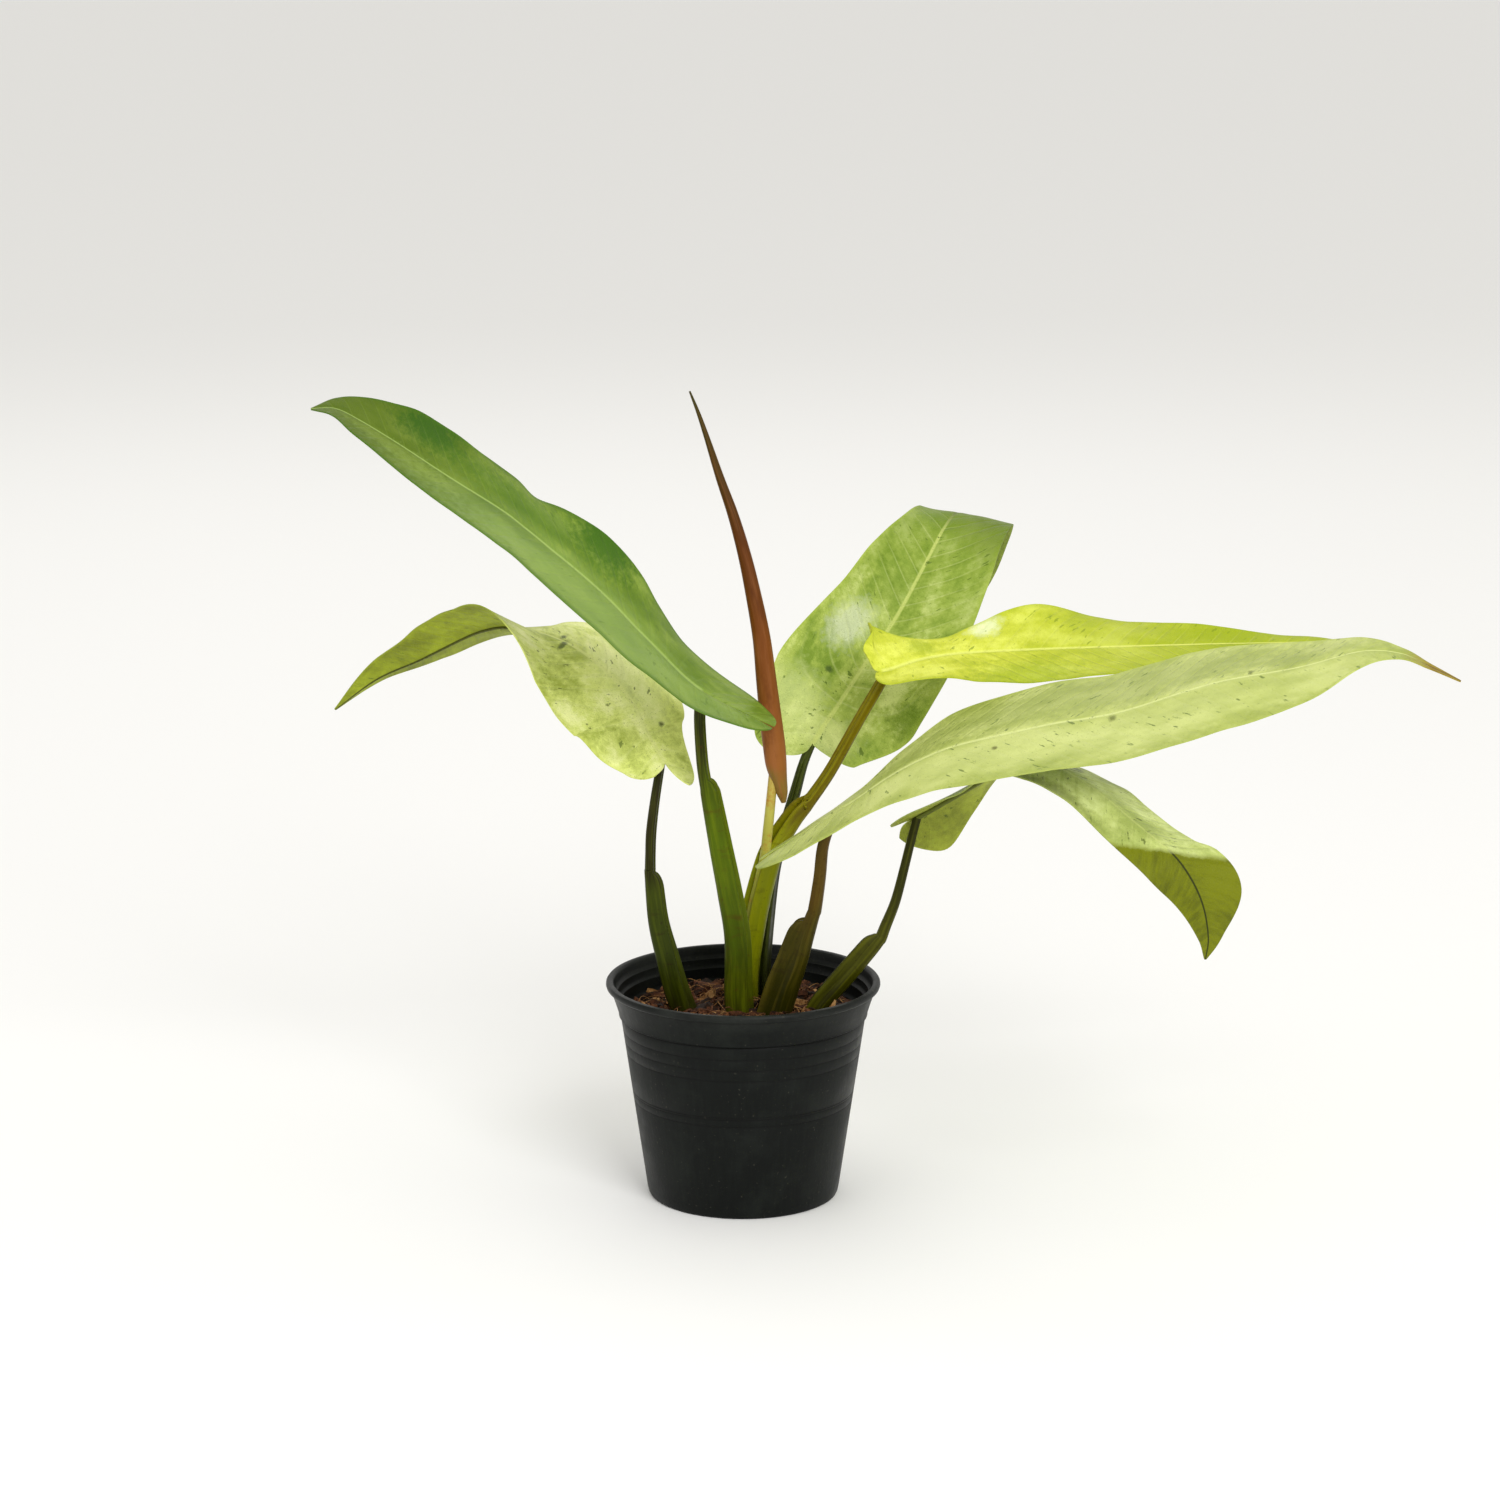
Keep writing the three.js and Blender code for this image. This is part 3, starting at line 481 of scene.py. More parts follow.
# %% The leaf material
def leaf_material(name, look, seed, under=False):
    """One face of a leaf. Its veins lie sunk in the upper face and stand out below, which is duller."""
    w = LeafWires(name, seed)
    tint = leaf_lines(w, look, leaf_ground(w, look))
    # the far part: painted shade on the low leaves, a dry brown tip on the long one
    if "tip" in look:
        tint = leaf_tip(w, look["tip"], tint)
    raised = 1 if under else -1
    cells = w.add("TexVoronoi", w.flat, None, 9, feature="DISTANCE_TO_EDGE")
    net = cells.spread(0.0, 0.2, 0.4 * raised, 0)
    ridge = w.from_vein.spread(0.0, 0.2, 1, 0) * (1.3 * raised)
    relief = net + ridge + (w.grain * 0.6 + w.streak * 1.5)
    smoothest, roughest, shine = (0.5, 0.62, 0.14) if under else (0.38, 0.5, 0.17)
    rough = w.mottle.spread(0.35, 0.65, smoothest, roughest)
    return w.finish(tint, rough, shine, relief, depth=0.0003 * look["relief"], strength=0.9)


# %% [markdown]
# ## Leaf blades
# On the real plant a blade is one sheet, a little thicker than card, with two rounded lobes behind the stalk.
# It could be drawn flat and bent with a curve, but each of these arches, folds and twists its own way. So
# each is said by a few cross sections along its midrib: where the section lies, which way its upper face
# looks, how far each half folds up and how wide it is.

# %% The rows of the blades
# Each row: x, y, z on the midrib, the way the upper face looks, the fold of the left and the right half in
# degrees, and their widths. The first row is the lobes' end and the second is the stalk's joint. lobes holds,
# for the left and the right one, where its end lies across and how far back it reaches, from 0 to 1. wave is
# the number of waves in the margins, and the height and phase of the left and the right one.
BLADES = {
  "high_left": {
    "lobes": [(1.5, 1), (1.5, 1)],
    "wave": (2, [0.8, 1], [3, 4.1]),
    "rows": [
      (13, -25, 215.5, 0.45, -0.34, 0.8, 4, -8, 18, 21),
      (-18, -15, 230, 0.5, -0.36, 0.75, 4, -3, 19, 22.5),
      (-40, -19, 252, 0.53, -0.37, 0.7, 6, 2, 27, 26),
      (-61, -24, 275, 0.53, -0.37, 0.7, 6, 5, 30, 29),
      (-82, -28, 294, 0.53, -0.37, 0.7, 6, 6, 30, 28.5),
      (-92, -30, 302.8, 0.53, -0.37, 0.7, 6, 5, 29.5, 25),
      (-102, -32, 311, 0.53, -0.37, 0.7, 6, 6, 29, 27),
      (-123, -35, 325, 0.52, -0.38, 0.72, 8, 8, 26, 25),
      (-143, -38, 339, 0.5, -0.38, 0.75, 9, 9, 22, 22),
      (-160, -40, 350, 0.4, -0.38, 0.8, 9, 9, 15, 15),
      (-170, -41, 355, 0.2, -0.38, 0.9, 6, 6, 7.5, 7.5),
      (-180, -41, 355, 0, -0.38, 0.95, 0, 0, 0.4, 0.4),
    ],
  },
  "low_left": {
    "lobes": [(7.6, 0.44), (5, 0.95)],
    "wave": (2, [1.2, 0], [1.2, 1]),
    "rows": [
      (-27.5, -7, 185, 0.2, -0.75, 0.6, -9, -12, 17.5, 11.5),
      (-35, 8, 194.4, 0.2, -0.75, 0.6, -9, -12, 18, 12.6),
      (-42, 14, 205, 0.2, -0.72, 0.65, -11, -11, 25.5, 19.5),
      (-48, 21, 216, 0.2, -0.7, 0.7, -13, -13, 30.5, 24.5),
      (-60, 29, 229, 0.15, -0.62, 0.76, -12, -15, 31.5, 28),
      (-75, 36, 239, 0.1, -0.5, 0.86, 0, -16, 29, 29),
      (-91, 43, 244, -0.05, -0.2, 1, 25, -12, 26, 26),
      (-105, 51, 245, -0.2, 0.2, 0.95, 30, -16, 22.5, 25),
      (-116, 60, 241.5, -0.28, 0.42, 0.85, 24, -8, 20, 23),
      (-126, 68, 236, -0.3, 0.55, 0.78, 22, 2, 18, 17.5),
      (-146, 82, 223.6, -0.32, 0.62, 0.72, 24, 10, 14, 10.8),
      (-167, 94, 212, -0.32, 0.62, 0.72, 24, 12, 8, 5.2),
      (-187, 103, 196, -0.32, 0.62, 0.72, 10, 10, 0.4, 0.4),
    ],
  },
  "back": {
    "lobes": [(15, 1), (12, 0.15)],
    "wave": (2, [1.5, 0], [1.5, 2]),
    "rows": [
      (24.9, 36.9, 183.6, -0.05, -0.9, 0.4, 4, 4, 27, 20),
      (31, 40, 194.4, -0.05, -0.9, 0.4, 4, 4, 28, 22),
      (42, 44.6, 210.2, -0.1, -0.9, 0.4, 4, 4, 34, 35),
      (50, 48, 222, -0.1, -0.9, 0.4, 4, 4, 34.5, 36),
      (68, 56, 248, -0.05, -0.88, 0.45, 4, 4, 29.5, 33.5),
      (80, 66, 268, 0, -0.8, 0.55, 3, 3, 26, 30.5),
      (90, 80, 284, 0, -0.5, 0.85, 0, 0, 20, 28),
      (97, 98, 288, 0.1, 0, 1, -3, -3, 17.5, 26),
      (100, 116, 277, 0.15, 0.5, 0.8, -4, -4, 18, 22),
      (100, 130, 256, 0.1, 0.85, 0.5, -4, -4, 16, 16),
      (98, 138, 236, 0.05, 0.95, 0.2, 0, 0, 8, 8),
      (96, 142, 218, 0, 1, 0.1, 0, 0, 0.4, 0.4),
    ],
  },
  "yellow": {
    "lobes": [(9, 1), (7, 0.7)],
    "wave": (2.4, [3, 3.2], [1.5, 1]),
    "rows": [
      (53, 2, 235, 0, -0.45, 0.88, 32, 12, 18, 14),
      (61, 5, 234, 0, -0.45, 0.88, 30, 12, 23, 14),
      (77, 10, 238, 0, -0.44, 0.89, 5, 10, 16.5, 19),
      (90, 14, 239.5, 0, -0.43, 0.9, 2, 8, 13.5, 23),
      (103, 17, 240, 0, -0.42, 0.9, 5, 7, 16.5, 25.5),
      (134, 24, 240, 0, -0.42, 0.9, 8, 6, 26, 27),
      (165, 29, 240, 0, -0.38, 0.92, 5, 5, 23, 25),
      (201, 34, 240, 0, -0.35, 0.93, 2, 5, 13, 20),
      (230, 37, 240, 0, -0.3, 0.95, 2, 5, 8, 13),
      (250, 39, 240, 0, -0.25, 0.96, 2, 3, 6, 7),
      (266, 40, 240, 0, -0.2, 0.97, 0, 0, 0.4, 0.4),
    ],
  },
  "long_right": {
    "lobes": [(4, 1), (4, 1)],
    "wave": (2, [1, 0], [1, 2]),
    "rows": [
      (6, -16, 154, -0.55, 0.05, 0.8, -6, -10, 17, 20),
      (44, -28, 182, -0.45, -0.05, 0.85, -6, -10, 17, 19),
      (67, -34, 199, -0.36, -0.16, 0.9, -6, -8, 25, 24),
      (89, -38, 210, -0.28, -0.22, 0.93, -2, -6, 33, 30),
      (117, -43, 218, -0.2, -0.26, 0.95, 0, -5, 37, 33),
      (132, -46, 222, -0.15, -0.29, 0.95, 0, -5, 37, 34),
      (159, -51, 228, -0.1, -0.32, 0.94, -3, -6, 36, 35),
      (197, -59, 242, -0.1, -0.32, 0.94, -6, -8, 32, 32),
      (231, -66, 250, -0.1, -0.32, 0.94, -6, -6, 25, 25),
      (256, -72, 258, -0.05, -0.32, 0.94, -3, -3, 13, 13),
      (272, -76, 258, 0.1, -0.32, 0.94, 0, 0, 5.5, 5.5),
      (284, -78, 253, 0.3, -0.32, 0.9, 0, 0, 2.5, 2.5),
      (297, -79, 247, 0.3, -0.32, 0.9, 0, 0, 0.4, 0.4),
    ],
  },
  "low_right": {
    "lobes": [(6, 1), (8, 0.6)],
    "wave": (2, [1.2, 0], [1.2, 2]),
    "rows": [
      (64.7, 9.7, 161.9, -0.25, 0.6, 0.75, -28, -20, 20, 16),
      (76, 4, 170, -0.25, 0.6, 0.75, -30, -20, 23, 16),
      (90, -3, 180, -0.2, 0.5, 0.8, -17, -20, 17.5, 20),
      (105, -11, 191, -0.05, 0.25, 0.95, 8, -16, 18, 21),
      (119, -22, 201, 0.1, 0, 1, -8, -12, 24.5, 22),
      (133, -34, 201, 0.3, -0.25, 0.9, -12, -10, 24, 20.5),
      (149, -49, 194, 0.41, -0.4, 0.8, -12, -8, 22, 19),
      (165, -63, 183, 0.41, -0.42, 0.8, -12, -12, 19.5, 18),
      (179, -74, 173, 0.38, -0.55, 0.72, -10, -20, 17.5, 15.5),
      (187, -77, 163, 0.3, -0.85, 0.35, -5, -25, 18.8, 13.5),
      (193, -75, 150, 0.25, -0.93, -0.1, 0, -20, 18, 10),
      (196, -71, 135, 0.2, -0.93, -0.2, 0, -15, 6.6, 4.6),
      (195.4, -67.5, 124.5, 0.2, -0.93, -0.2, 0, 0, 0.4, 0.4),
    ],
  },
}


# %% [markdown]
# ## Making a blade
# The two halves are laid as separate grids and welded along the midrib, because the lobes behind the stalk
# are not joined. The sheet then gets its thickness. Above, a shallow channel runs along the midrib. Below,
# the midrib stands out as a thin tapering rod, as it does on a real leaf. The margin is slightly uneven.

# %% Measures of a blade
BLADE_COLUMNS = 24
LOBE_ROWS = 16
BLADE_ROWS = 136
BLADE_THICKNESS = 0.6
CHANNEL_DEPTH = 0.5
CHANNEL_WIDTH = 1.3
MIDRIB_RADIUS = 1.5
MIDRIB_SIDES = 10
MIDRIB_DROP = 0.55  # how far below the sheet's middle the rod's centre lies, as a share of its radius
FLUTTER = 0.55  # height of the small uneven waves
FLUTTER_SIZE = 13


def crowd(s):
    """Columns lie closer together near the midrib."""
    return s**1.4


def blade_row(leaf, t):
    """The place along the rows for a share t of the grid: the lobes' rounded ends first, then the rest."""
    lobes = LOBE_ROWS / (LOBE_ROWS + BLADE_ROWS)
    if t < lobes:
        return 1 - math.cos(math.pi / 2 * t / lobes)
    return 1 + (t - lobes) / (1 - lobes) * (len(leaf["rows"]) - 2)


def channel_depth(along):
    """The midrib's channel grows shallower towards the tip."""
    return CHANNEL_DEPTH * (1 - 0.7 * max(0, along))


# %% The midrib helper
def add_midrib(bm, leaf, run, length):
    """A tapering rod, half sunk in the underside."""
    rows = leaf["rows"]
    last = len(rows) - 1

    def point(s, t):
        place = 1 - 0.1 * (1 - t) + t * (last - 1)
        row = blend(rows, place)
        up, right = across_line(rows, place, row[3:6])
        turn = 2 * math.pi * s
        radius = MIDRIB_RADIUS * (1 - t) ** 0.7 + 0.15
        down = MIDRIB_DROP * radius + channel_depth(t)
        return Vector(row[:3]) + radius * math.cos(turn) * right + (radius * math.sin(turn) * 0.6 - down) * up

    def maps(s, t):
        y = run(1 + t * (last - 1))
        return (0, y / 10), (0.5, y / length)

    faces = lay(bm, MIDRIB_SIDES, BLADE_ROWS // 2, point, maps)
    dress(faces, 1)
    bmesh.ops.remove_doubles(bm, verts=touching(faces, "verts"), dist=SEAM)
    close_ends(bm)


# %% The blade helper
def blade_piece(name, leaf, upper, lower):
    """A whole blade, from two halves and a midrib."""
    rows = leaf["rows"]
    count, *waves = leaf["wave"]
    run, length = run_along(rows, start=1)
    bm = new_sheet()

    for side, (height, phase), (centre, far_back) in zip((-1, 1), waves, leaf["lobes"]):

        def point(s, t):
            across, place = crowd(s), blade_row(leaf, t)
            lobe = max(0, 1 - place)
            place = max(place, 1 - lobe * far_back)
            row = blend(rows, place)
            up, right = across_line(rows, place, row[3:6])
            fold = math.radians(row[6] if side < 0 else row[7])
            width = row[8] if side < 0 else row[9]
            inner = centre * lobe**3
            outer = centre + (width - centre) * math.sqrt(max(0, 1 - lobe**2))
            reach = inner * (1 - across) + outer * across
            along = run(place) / length
            ends = (1 - lobe) * math.sin(math.pi * min(max(0.1 + 0.9 * along, 0), 1))
            wave = height * ends * math.sin(2 * math.pi * count * along + phase) * across**2.5
            spot = Vector((side * reach, run(place), 10 * count)) / FLUTTER_SIZE
            calm = min(1, reach / 5) * min(1, outer / 6)  # near the midrib and where the blade is narrow
            wave += FLUTTER * noise.noise(spot) * calm
            channel = channel_depth(along) * math.exp(-((reach / CHANNEL_WIDTH) ** 2)) * (1 - lobe)
            lift = reach * math.sin(fold) + wave + BLADE_THICKNESS / 2 - channel
            at = Vector(row[:3]) + side * reach * math.cos(fold) * right + lift * up
            return at, side * reach, run(place)

        def maps(s, t):
            _, x, y = point(s, t)
            return (x / 10, y / 10), (0.5 + 0.5 * side * crowd(s), y / length)

        lay(bm, BLADE_COLUMNS, LOBE_ROWS + BLADE_ROWS, lambda s, t: point(s, t)[0], maps, turned=side < 0)

    bmesh.ops.remove_doubles(bm, verts=bm.verts, dist=4 * SEAM)
    below = bmesh.ops.solidify(bm, geom=bm.faces[:], thickness=BLADE_THICKNESS * MM)["geom"]
    dress(only(BMFace, below), 1)
    add_midrib(bm, leaf, run, length)
    finish_piece(bm, f"leaf_{name}", [upper, lower], f"blade_{name}")


# %% [markdown]
# ## The colours of the leaves
# No two leaves of this plant are alike: the low ones are nearly cream, the high one is a plain green, and one
# has gone yellow. Each look is a list of colours for the same material: the green, the middle tint and the
# pale streaks, then the veins, flecks, margin and midrib. The underside of each is duller.

# %% Leaf looks
# Colours are red, green and blue, 0 to 255. A far entry is a tint that comes in slowly along the blade: its
# start, its end and its strength. A tip entry holds the colour of the far part that turns away, the colour
# of its midrib and streaks, where along the blade it begins and is full, and how far the line between them
# slants across the blade. On the two low leaves that far part is painted shade, olive where light shines
# through from behind, with a dark midrib; on the long leaf it is a dry brown tip. A patch holds its tint,
# its place across from -1 to 1 and along from 0 to 1, its two sizes and its strength.
PLAIN_LOOK = {
  "streaks": 0.25, "vein_share": 0.25, "rib_share": 0.7, "flecks": 0.85, "margin_share": 0.4, "relief": 1,
  "patches": [],
}
LOOKS = {
  "high_left": {
    "green": (91, 119, 26), "mid": (109, 135, 38), "pale": (129, 152, 58), "streaks": 0.07,
    "far": ((74, 93, 3), 0.45, 0.95, 0.85), "relief": 0.5,
    "patches": [
      # The big pale patch at -0.55 across is painted sheen on the lower half.
      ((146, 172, 92), -0.55, 0.3, 0.8, 0.5, 0.5), ((140, 160, 62), -0.3, 0.8, 0.3, 0.15, 0.4),
      # The two darkest patches, at 0.9 and 0.75 across, are painted shade in folds by the upper margin.
      ((46, 92, 2), 0.9, 0.33, 0.55, 0.085, 0.85), ((40, 84, 0), 0.75, 0.76, 0.46, 0.085, 0.9),
      ((70, 108, 8), 0.5, 0.5, 0.35, 0.25, 0.5), ((76, 106, 16), -0.1, 0.55, 0.25, 0.12, 0.5),
    ],
    "vein": (150, 172, 76), "vein_share": 0.12, "fleck": (52, 82, 10), "flecks": 0.35,
    "margin": (58, 98, 4), "margin_share": 0.6, "rib": (168, 192, 106),
  },
  "low_left": {
    "green": (170, 184, 76), "mid": (222, 232, 128), "pale": (246, 250, 172),
    "patches": [
      ((142, 154, 62), -0.5, 0.06, 0.5, 0.04, 0.35), ((236, 242, 172), 0.3, 0.2, 0.5, 0.12, 0.4),
      ((60, 74, 20), 0.42, 0.075, 0.07, 0.008, 0.9),
      ((74, 88, 30), -0.1, 0.335, 0.16, 0.006, 0.85), ((74, 88, 30), 0.12, 0.35, 0.1, 0.006, 0.85),
    ],
    "vein": (234, 240, 164), "fleck": (96, 112, 40),
    "margin": (206, 216, 100), "rib": (230, 236, 150),
    # The tip is painted shade: the olive of the blade lit through from behind, with a dark midrib.
    "tip": ((150, 165, 34), (66, 72, 14), 0.4, 0.47, 0.0),
  },
  "back": {
    "green": (118, 144, 42), "mid": (164, 182, 80), "pale": (206, 218, 130),
    "far": ((104, 130, 26), 0.2, 0.5, 0.62),
    "patches": [
      # The whitish patch at -0.5 across is painted sheen by the left margin.
      ((92, 118, 8), 0.9, 0.13, 0.32, 0.042, 0.7), ((226, 232, 196), -0.5, 0.24, 0.3, 0.06, 0.6),
      ((96, 126, 30), -0.2, 0.36, 0.45, 0.06, 0.3), ((60, 84, 20), -0.35, 0.14, 0.06, 0.008, 0.9),
      ((218, 226, 150), 0.2, 0.02, 0.5, 0.05, 0.5), ((214, 224, 148), -0.6, 0.05, 0.5, 0.07, 0.5),
    ],
    "vein": (216, 224, 150), "fleck": (80, 104, 24),
    "margin": (168, 188, 70), "rib": (204, 214, 120),
    "tip": ((106, 128, 24), (80, 96, 18), 0.5, 0.6, 0.12),
  },
  "yellow": {
    "green": (176, 188, 40), "mid": (204, 211, 64), "pale": (226, 232, 98),
    "streaks": 0.15, "far": ((150, 168, 22), 0.2, 0.7, 0.8),
    "patches": [
      # The first, whitish patch is a painted highlight on the hump of the upper margin.
      ((232, 240, 190), -0.8, 0.24, 0.3, 0.04, 0.85), ((150, 170, 24), -0.5, 0.1, 0.4, 0.03, 0.55),
      ((146, 168, 16), 0.75, 0.3, 0.4, 0.12, 0.6),
    ],
    "vein": (228, 234, 110), "vein_share": 0.16, "fleck": (120, 140, 20),
    "flecks": 0.7, "margin": (150, 168, 16), "rib": (226, 232, 120), "rib_share": 0.85,
  },
  "long_right": {
    "green": (158, 171, 82), "mid": (180, 191, 103), "pale": (198, 207, 124),
    "streaks": 0.07, "relief": 0.6,
    "patches": [
      # The two big patches, darker at -0.55 across and paler at 0.4, are painted shade and painted light on
      # the two halves.
      ((148, 160, 86), -0.55, 0.45, 0.45, 0.45, 0.5), ((214, 222, 142), 0.4, 0.35, 0.4, 0.5, 0.4),
      ((88, 84, 34), 0.3, 0.265, 0.05, 0.005, 0.8), ((104, 112, 50), 0.1, 0.45, 0.07, 0.006, 0.85),
      ((110, 116, 54), -0.1, 0.67, 0.07, 0.005, 0.8),
    ],
    "vein": (208, 217, 140), "vein_share": 0.13, "fleck": (92, 112, 44),
    "flecks": 0.8, "margin": (168, 182, 84), "rib": (220, 228, 150), "rib_share": 0.8,
    "tip": ((146, 128, 40), (100, 68, 26), 0.9, 0.95, 0.0),
  },
  "low_right": {
    "green": (162, 176, 92), "mid": (194, 206, 122), "pale": (218, 228, 154), "streaks": 0.16,
    "patches": [
      ((60, 70, 24), -0.45, 0.4, 0.12, 0.03, 0.75), ((70, 78, 26), 0.55, 0.36, 0.08, 0.01, 0.8),
      ((96, 104, 30), 0.95, 0.45, 0.3, 0.15, 0.5),
    ],
    "vein": (216, 224, 146), "vein_share": 0.14, "fleck": (84, 98, 34),
    "margin": (170, 184, 84), "rib": (208, 216, 134), "rib_share": 0.5,
    # The tip is painted shade: the olive of the blade lit through from behind, with a dark midrib.
    "tip": ((112, 119, 2), (42, 48, 2), 0.715, 0.735, 0.17),
  },
}
# The dark midribs of the low_left, back and low_right undersides are painted shade: the thick rib blocks the
# light that shines through the blade. The olive of the low_left underside is painted shade with light shining
# through.
UNDERSIDE = {  # the tint, and the midrib's tint
  "high_left": ((96, 122, 46), (132, 156, 70)), "low_left": ((144, 156, 40), (58, 60, 16)),
  "back": ((142, 158, 66), (84, 96, 30)), "yellow": ((182, 190, 60), (200, 206, 84)),
  "long_right": ((158, 172, 82), (180, 190, 104)), "low_right": ((150, 160, 56), (80, 88, 28)),
}


def underside_look(look, tint, rib):
    """The same leaf from below: one dull tint with faint veins, a plain midrib and no turned tip."""
    plain = {key: value for key, value in look.items() if key not in ("tip", "patches", "far")}
    shade = [c * 0.84 for c in tint]
    light = [min(255, c * 1.14) for c in tint]
    return {**PLAIN_LOOK, **plain, "green": shade, "mid": tint, "pale": light, "margin": light, "vein": light,
            "rib": rib, "rib_share": 0.9}


# %% Make the six blades
for seed, (leaf_name, leaf) in enumerate(BLADES.items()):
    look = {**PLAIN_LOOK, **LOOKS[leaf_name]}
    below = underside_look(look, *UNDERSIDE[leaf_name])
    upper = leaf_material(f"upper_face_{leaf_name}", look, 3.7 * seed)
    lower = leaf_material(f"underside_{leaf_name}", below, 3.7 * seed, under=True)
    blade_piece(leaf_name, leaf, upper, lower)

# %% [markdown]
# ## Stalks
# A stalk is round at the back and grooved in front. Along its lower part the two edges of the groove stand
# up as thin wings, the sheath that once wrapped the next leaf. One outline is drawn for a row and swept along
# the stalk, so the wings can end in a notch partway up. Its upper end keeps to the slope of the blade that it
# carries, just under it.

# %% The rows of the stalks
# Each row: x, y, z of the middle, the radius and the height of the wings. inner is where the groove looks.
STALKS = {
  "high_left": {
    "inner": [1, -0.35, 0.1],
    "rows": [
      (1, -1, 50, 5.2, 2), (-1.5, -4, 70, 5, 3), (-3.6, -6, 89, 4.7, 3.4),
      (-4, -8, 116.8, 4.2, 3.3), (-7.2, -9.5, 137.5, 3.9, 3.3), (-11, -11, 158, 3.5, 3.3),
      (-15, -13, 180.8, 3, 3.1), (-15.8, -13.3, 186.5, 2.8, 2.7), (-16.2, -13.5, 189, 2.8, 0),
      (-17.5, -14, 198.7, 2.7, 0), (-18.5, -15, 216.6, 2.6, 0), (-18, -15, 228.6, 2.5, 0),
    ],
  },
  "low_left": {
    "inner": [1, -0.35, 0.1],
    "rows": [
      (-12, 0, 50, 4.6, 2), (-20.5, -1, 66, 4.4, 2.8), (-29.6, -3, 89, 4.1, 3.2),
      (-34.8, -3, 108, 3.6, 3.2), (-38.6, -1, 123.9, 3.1, 3), (-40.5, 0.4, 144, 2.6, 2.5),
      (-40.5, 0.6, 146.5, 2.5, 0), (-40.4, 1.4, 153, 2.4, 0), (-40, 3, 163, 2.4, 0),
      (-38.3, 5, 177, 2.2, 0), (-35.8, 8, 192.4, 2, 0),
    ],
  },
  "back": {
    "inner": [-0.2, -1, 0.2],
    "rows": [
      (5, 13, 46, 5, 2), (6.6, 19, 68, 4.8, 2.6), (8.3, 24, 98.8, 4.2, 2.8),
      (11.9, 29, 129.7, 3.4, 2.6), (14.6, 31.5, 144, 3, 2.2), (15.3, 32, 147, 2.9, 0),
      (22.3, 36, 170, 2.6, 0), (26.5, 39, 184.5, 2.2, 0), (30.2, 41.2, 193.6, 2, 0),
    ],
  },
  "yellow": {
    "inner": [-0.7, -0.6, 0.4],
    "rows": [
      (4, 7, 50, 5.4, 2), (2, 9.5, 72, 5.2, 3), (1.8, 10, 91, 4.8, 3.2),
      (3, 9.5, 103, 4.5, 3.4), (5.2, 9, 116.7, 4.4, 3.4), (7.4, 8.5, 128.7, 4.3, 3.4),
      (10.9, 8, 142.9, 4.1, 3.4), (14.4, 7.5, 153.4, 3.8, 3.4), (21.8, 7, 166.1, 3.4, 3.2),
      (27.2, 7, 173.2, 3.1, 2.8), (28.6, 7, 175, 2.9, 0), (38, 7, 189, 2.7, 0),
      (50, 7, 211, 2.5, 0), (59.5, 7, 227.8, 2.4, 0), (61.9, 6.8, 232.6, 2.3, 0),
    ],
  },
  "long_right": {
    "inner": [-1, 0.3, 0.25],
    "rows": [
      (9, -3, 50, 5.8, 2), (12, -7.5, 70, 5.7, 3.6), (18.2, -10, 92, 5.3, 4.6),
      (23.6, -12, 108, 4.6, 4.6), (27, -13.6, 120, 4, 4.2), (30.2, -15.5, 130.5, 3.3, 3.4),
      (31, -16, 133, 3.2, 0), (33, -19, 148, 2.9, 0), (34.4, -22.5, 163, 2.7, 0),
      (38, -26, 174, 2.5, 0), (42.4, -27.6, 180.6, 2.4, 0),
    ],
  },
  "low_right": {
    "inner": [-0.8, 0.1, 0.6],
    "rows": [
      (12.5, 0, 48, 4.4, 2), (22, -2.5, 62, 4.2, 2.2), (30.5, -4.2, 78, 3.9, 2.4),
      (35, -5, 87, 3.7, 2.5), (45.1, -5.5, 98.9, 3.6, 2.8), (55, -5.6, 111, 3.4, 2.7),
      (59, -5, 115.8, 3.1, 2.5), (60, -4.7, 117, 3, 0), (62, -3.6, 122, 2.8, 0),
      (66.4, -2, 133, 2.5, 0), (70.4, 0.6, 148, 2.3, 0), (73.4, 3, 160, 2.2, 0),
      (75.9, 4, 169.4, 2.1, 0),
    ],
  },
}


# %% The stalk's outline
BACK_ANGLES = [30, -5, -38, -70, -110, -142, -175, -210]  # degrees round the back
WING_THICKNESS = 1.3
WING_LEAN = 0.12  # how far a wing leans out for each millimetre of its height
SHOULDER = 0.72  # how far out and up the groove's edges lie, as a share of the radius
GROOVE_FLOOR = 0.45  # and how far up its floor lies


def stalk_outline(radius, wing):
    """The outline's corners as (right, up), from the right wing round the back to the left one."""
    back = [(radius * math.cos(math.radians(a)), radius * math.sin(math.radians(a))) for a in BACK_ANGLES]
    top = SHOULDER * radius + wing
    outside = SHOULDER * radius + WING_LEAN * wing
    inside = outside - min(WING_THICKNESS, radius / 2)
    front = [(-inside, top), (0, GROOVE_FLOOR * radius), (inside, top)]
    return [*back, (-outside, top), *front, (outside, top)]


def round_outline(corners, share):
    """A smooth closed curve through the corners. share runs from 0 to 1 round it."""
    place = share * len(corners)
    i = min(int(place), len(corners) - 1)
    four = [corners[(i + k) % len(corners)] for k in (-1, 0, 1, 2)]
    return [smooth(*values, place - i) for values in zip(*four)]


# %% The stalk helper
STALK_AROUND = 52
STALK_STEP = 1.3  # millimetres between rings
STALK_GIRTH = 2.4  # centimetres
NOTCH_ROUNDING = 7  # millimetres over which a wing's end rounds off
JOINT_REACH = 9  # the last millimetres of a stalk, which must stay under the blade
JOINT_DEPTH = 0.6  # and how far under the joint they stay


